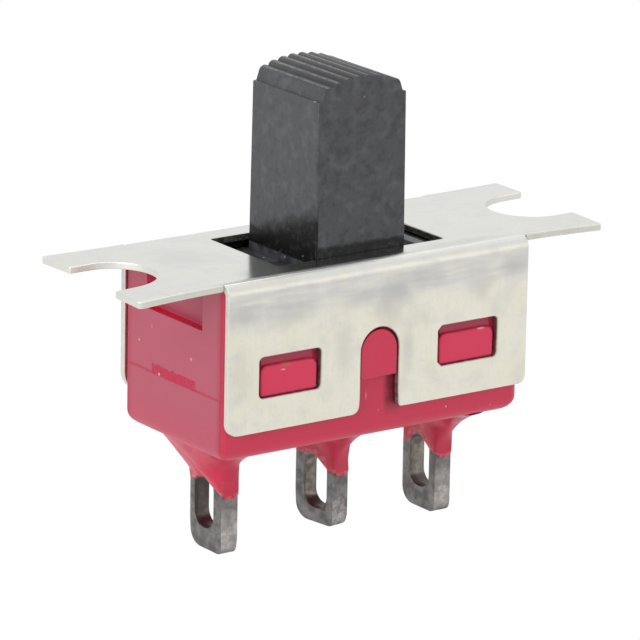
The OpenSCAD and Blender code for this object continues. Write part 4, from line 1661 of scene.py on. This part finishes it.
@dataclass
class CoilSpring(Part):
    """The small spring that presses the plunger on the rocker, shorter as the plunger rises."""

    name, node, slot, body = "plunger_spring", "actuator_spring", "spring_steel", "button"
    stroke: float = 0.3
    wire_r: float = 0.09
    turns: int = 8
    steps: int = 28

    def build(self, material: Material) -> Piece:
        """Winds the spring, and gives it a mesh of its own.

        Args:
            material: Its finish.

        Returns:
            The spring.
        """
        spring = super().build(material)
        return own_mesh(spring)

    def shape(self) -> None:
        """Winds the wire from its lower end."""
        height = self.box.hi.z - self.box.lo.z
        count = self.turns * self.steps
        start = Matrix.Translation((self.box.hi.x - self.wire_r, 0, self.box.lo.z + self.wire_r))
        bmesh.ops.create_circle(
            self.bm, cap_ends=False, segments=12, radius=self.wire_r,
            matrix=start @ Matrix.Rotation(math.pi / 2, 4, "X"),
        )
        bmesh.ops.spin(
            self.bm, geom=self.everything(), cent=(0, 0, 0), axis=(0, 0, 1), angle=2 * math.pi * self.turns,
            dvec=(0, 0, (height - 2 * self.wire_r) / count), steps=count,
        )
        bmesh.ops.holes_fill(self.bm, edges=[edge for edge in self.bm.edges if edge.is_boundary], sides=0)
        self.face_out()


# ------------------------------------------------------------------ terminals


class Place(Enum):
    """Where a terminal stands, and the CAD node that it stands for."""

    LEFT = "end_terminal_left"
    CENTRE = "centre_terminal"
    RIGHT = "end_terminal_right"


@dataclass
class SolderLug(Part):
    """A terminal: a thick blade with an eyelet, whose top is a contact's seat or the pivot."""

    slot = "terminal_metal"
    place: Place
    half_x: float = 0.33
    half_y: float = 1.02
    front_r: float = 0.34
    back_r: float = 0.62
    eyelet_half: float = 0.59
    eyelet_length: float = 1.95
    eyelet_foot: float = 9.98
    eyelet_r: float = 0.5
    eyelet_shift: float = 0.0
    edge: float = 0.05
    under: float = -5.0
    twist_top: float = -6.2
    twist_length: float = 0.8

    def __post_init__(self) -> None:
        """Takes the name and the CAD node from the place."""
        self.name, self.node = f"solder_lug_{self.place.name.lower()}", self.place.value

    def shape(self) -> None:
        """Cuts the blade, and shapes its head for the place where it stands."""
        box = self.box
        self._blade(box)
        if self.place is Place.CENTRE:
            middle = 0.0
            self.round(above(box.hi.z - NEAR), self.half_x - 0.005, 8)
            self.round(below(self.under), self.edge, 3)
            self._twist()
        else:
            inward = 1 if self.place is Place.LEFT else -1
            middle = (box.lo.x if inward > 0 else box.hi.x) + inward * self.half_x
            self._fold_head(inward, box.hi.x - box.lo.x - 2 * self.half_x)
            self.round(below(self.under), self.edge, 3)
        self.shift((middle, 0, 0))

    def _blade(self, box: Box) -> None:
        """Cuts the blade with its eyelet out of the sheet, and stands it across the case.

        Args:
            box: The terminal's box.
        """
        left, right = (self.eyelet_shift + side * self.eyelet_half for side in SIDES)
        self.oblong((-self.half_y, self.half_y), (box.lo.z, box.hi.z), self.front_r, self.back_r, 0.0, 0.0)
        self.oblong((left, right), (-self.eyelet_foot, self.eyelet_length - self.eyelet_foot), self.eyelet_r)
        self.thicken(2 * self.half_x)
        self.transform(Matrix(((0, 0, 1, self.half_x), (1, 0, 0, 0), (0, 1, 0, 0), (0, 0, 0, 1))))
        self.face_out()

    def _twist(self) -> None:
        """Turns the blade a little under the case, as it was knocked."""
        for step in range(5):
            self.cut(Axis.Z, self.twist_top - self.twist_length * step / 4)
        for vert in self.bm.verts:
            share = within((self.twist_top - vert.co.z) / self.twist_length)
            vert.co.rotate(Matrix.Rotation(math.radians(CENTRE_TURN) * share, 3, "Z"))

    def _fold_head(self, direction: int, length: float) -> None:
        """Folds the blade's top flat on the case's floor.

        Args:
            direction: The side the head goes to, -1 or 1 along X.
            length: How far it goes.
        """
        floor = case_floor()
        self.cut(Axis.Z, floor)
        self.bm.normal_update()
        faces = [
            face for face in self.bm.faces
            if face.normal.x * direction > LEVEL and face.calc_center_median().z > floor
        ]
        self.draw_out(faces, (direction * length, 0, 0))


# ------------------------------------------------------------------ studio


@dataclass
class Studio:
    """The white sweep, the soft lamps and the camera."""

    azimuth: float = 35.417
    elevation: float = 16.022
    roll: float = 1.124
    lens: float = 304.25
    distance: float = 193.736
    aim: Point = (-0.209, 0.0, -2.976)
    world_level: float = 0.62
    floor_grey: float = 0.86
    floor_half: float = 3000.0
    floor_gap: float = 0.02
    lamps: tuple[tuple[str, Point, float, float], ...] = (
        ("key_left", (-210.0, -60.0, 90.0), 150.0, 3.4),
        ("top", (20.0, 40.0, 230.0), 180.0, 1.3),
        ("front_right", (150.0, -190.0, 40.0), 120.0, 0.7),
    )

    def build(self) -> None:
        """Sets up the world, the floor, the lamps and the camera."""
        scene = bpy.context.scene
        scene.view_settings.view_transform = "Standard"
        scene.world = bpy.data.worlds.new("studio")
        self._light_world(scene.world)
        self._lay_floor()
        for lamp in self.lamps:
            self._hang(*lamp)
        self._place_camera(scene)

    def _light_world(self, world: bpy.types.World) -> None:
        """Makes a surround that looks white and lights at a plain level.

        Args:
            world: The world.
        """
        world.use_nodes = True
        world.node_tree.nodes.clear()
        g = Graph(world.node_tree)
        level = g.seen() * (1.0 - self.world_level) + self.world_level
        shader = g.node("ShaderNodeBackground", {"Color": (1.0, 1.0, 1.0), "Strength": level})
        g.node("ShaderNodeOutputWorld", {"Surface": shader.outputs[0]})

    def _lay_floor(self) -> None:
        """Lays a white floor just under the terminals' tips."""
        sheet = Shape()
        bmesh.ops.create_grid(sheet.bm, x_segments=4, y_segments=4, size=self.floor_half * MM)
        sheet.shift((0, 0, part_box("end_terminal_left")[0].z - self.floor_gap * MM))
        mesh = bpy.data.meshes.new("floor")
        sheet.bm.to_mesh(mesh)
        sheet.bm.free()
        floor = bpy.data.objects.new("floor", mesh)
        bpy.context.scene.collection.objects.link(floor)
        material = bpy.data.materials.new("white_floor")
        material.use_nodes = True
        material.node_tree.nodes.clear()
        g = Graph(material.node_tree)
        matt = g.node("ShaderNodeBsdfDiffuse", {"Color": (self.floor_grey,) * 3})
        white = g.node("ShaderNodeEmission", {"Color": (1.0, 1.0, 1.0), "Strength": 1.0})
        mix = g.node("ShaderNodeMixShader", {0: g.seen(), 1: matt.outputs[0], 2: white.outputs[0]})
        g.node("ShaderNodeOutputMaterial", {"Surface": mix.outputs[0]})
        mesh.materials.append(material)

    def _hang(self, name: str, place: Point, size: float, radiance: float) -> None:
        """Hangs a square soft lamp that faces the switch.

        Args:
            name: The lamp's name.
            place: Where it hangs, in millimetres.
            size: The length of its side, in millimetres.
            radiance: How bright its face is, where 1 is white.
        """
        data = bpy.data.lights.new(name, "AREA")
        data.shape = "SQUARE"
        data.size = size * MM
        data.energy = radiance * math.pi * data.size ** 2
        lamp = bpy.data.objects.new(name, data)
        spot = Vector(place) * MM
        towards = Vector(self.aim) * MM - spot
        facing = towards.to_track_quat("-Z", "Y").to_matrix().to_4x4()
        lamp.matrix_world = Matrix.Translation(spot) @ facing
        bpy.context.scene.collection.objects.link(lamp)

    def _place_camera(self, scene: bpy.types.Scene) -> None:
        """Places the camera on its line of sight and turns it by its roll.

        Args:
            scene: The scene that gets it.
        """
        azimuth, elevation = math.radians(self.azimuth), math.radians(self.elevation)
        level = math.cos(elevation)
        back = Vector((-math.sin(azimuth) * level, -math.cos(azimuth) * level, math.sin(elevation)))
        right = Vector((math.cos(azimuth), -math.sin(azimuth), 0.0))
        axes = Matrix((right, back.cross(right), back)).transposed().to_4x4()
        data = bpy.data.cameras.new("camera")
        data.lens, data.sensor_width, data.sensor_fit = self.lens, 36.0, "HORIZONTAL"
        data.clip_start, data.clip_end = 0.01, 20.0
        camera = bpy.data.objects.new("camera", data)
        place = Matrix.Translation((Vector(self.aim) + back * self.distance) * MM)
        camera.matrix_world = place @ axes @ Matrix.Rotation(math.radians(self.roll), 4, "Z")
        scene.collection.objects.link(camera)
        scene.camera = camera


# ------------------------------------------------------------------ whole switch


def dress_node(frame: dict, node: str, finish: Material) -> None:
    """Gives a CAD node that stays its finish.

    Args:
        frame: The loaded frame.
        node: The node's name.
        finish: Its material.
    """
    mesh = frame["nodes"][node].data
    mesh.materials.clear()
    mesh.materials.append(finish)
    LOG.info("%s: keeps its CAD mesh, %s", node, finish.name)


def corners(box: Iterable[Vector]) -> list[list[float]]:
    """Writes a box as plain lists of numbers."""
    return [[float(value) for value in corner] for corner in box]


def main() -> None:
    """Builds the switch on its frame."""
    logging.basicConfig(level=logging.INFO, format="%(name)s %(message)s")
    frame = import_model()
    Studio().build()
    FoldedBracket().build(PlatedSteel("plated_steel").material())
    MouldedCase().build(CrimsonResin("crimson_resin").material())
    PottedSeal().build(SealResin("seal_resin").material())
    SlideButton().build(BlackResin("black_resin").material())
    CoilSpring().build(PlainMetal("spring_steel", (0.62, 0.62, 0.63), (0.42, 0.42, 0.44), 0.25).material())
    tarnished = TarnishedLug("tarnished_lug")
    lug_metal = tarnished.material()
    for place in Place:
        SolderLug(place, eyelet_shift=tarnished.left_shift if place is Place.LEFT else 0.0).build(lug_metal)
    bronze = PlainMetal("contact_bronze", (0.72, 0.47, 0.22), (0.52, 0.32, 0.15), 0.28).material()
    silver = PlainMetal("contact_silver", (0.84, 0.83, 0.80), (0.62, 0.61, 0.58), 0.22).material()
    dress_node(frame, "plunger", PaleAcetal("pale_acetal").material())
    dress_node(frame, "contact_rocker", bronze)
    for kind in ("moving", "fixed"):
        for side in ("left", "right"):
            dress_node(frame, f"{kind}_contact_{side}", silver)
    bpy.context.view_layer.update()


if __name__ == "__main__":
    main()
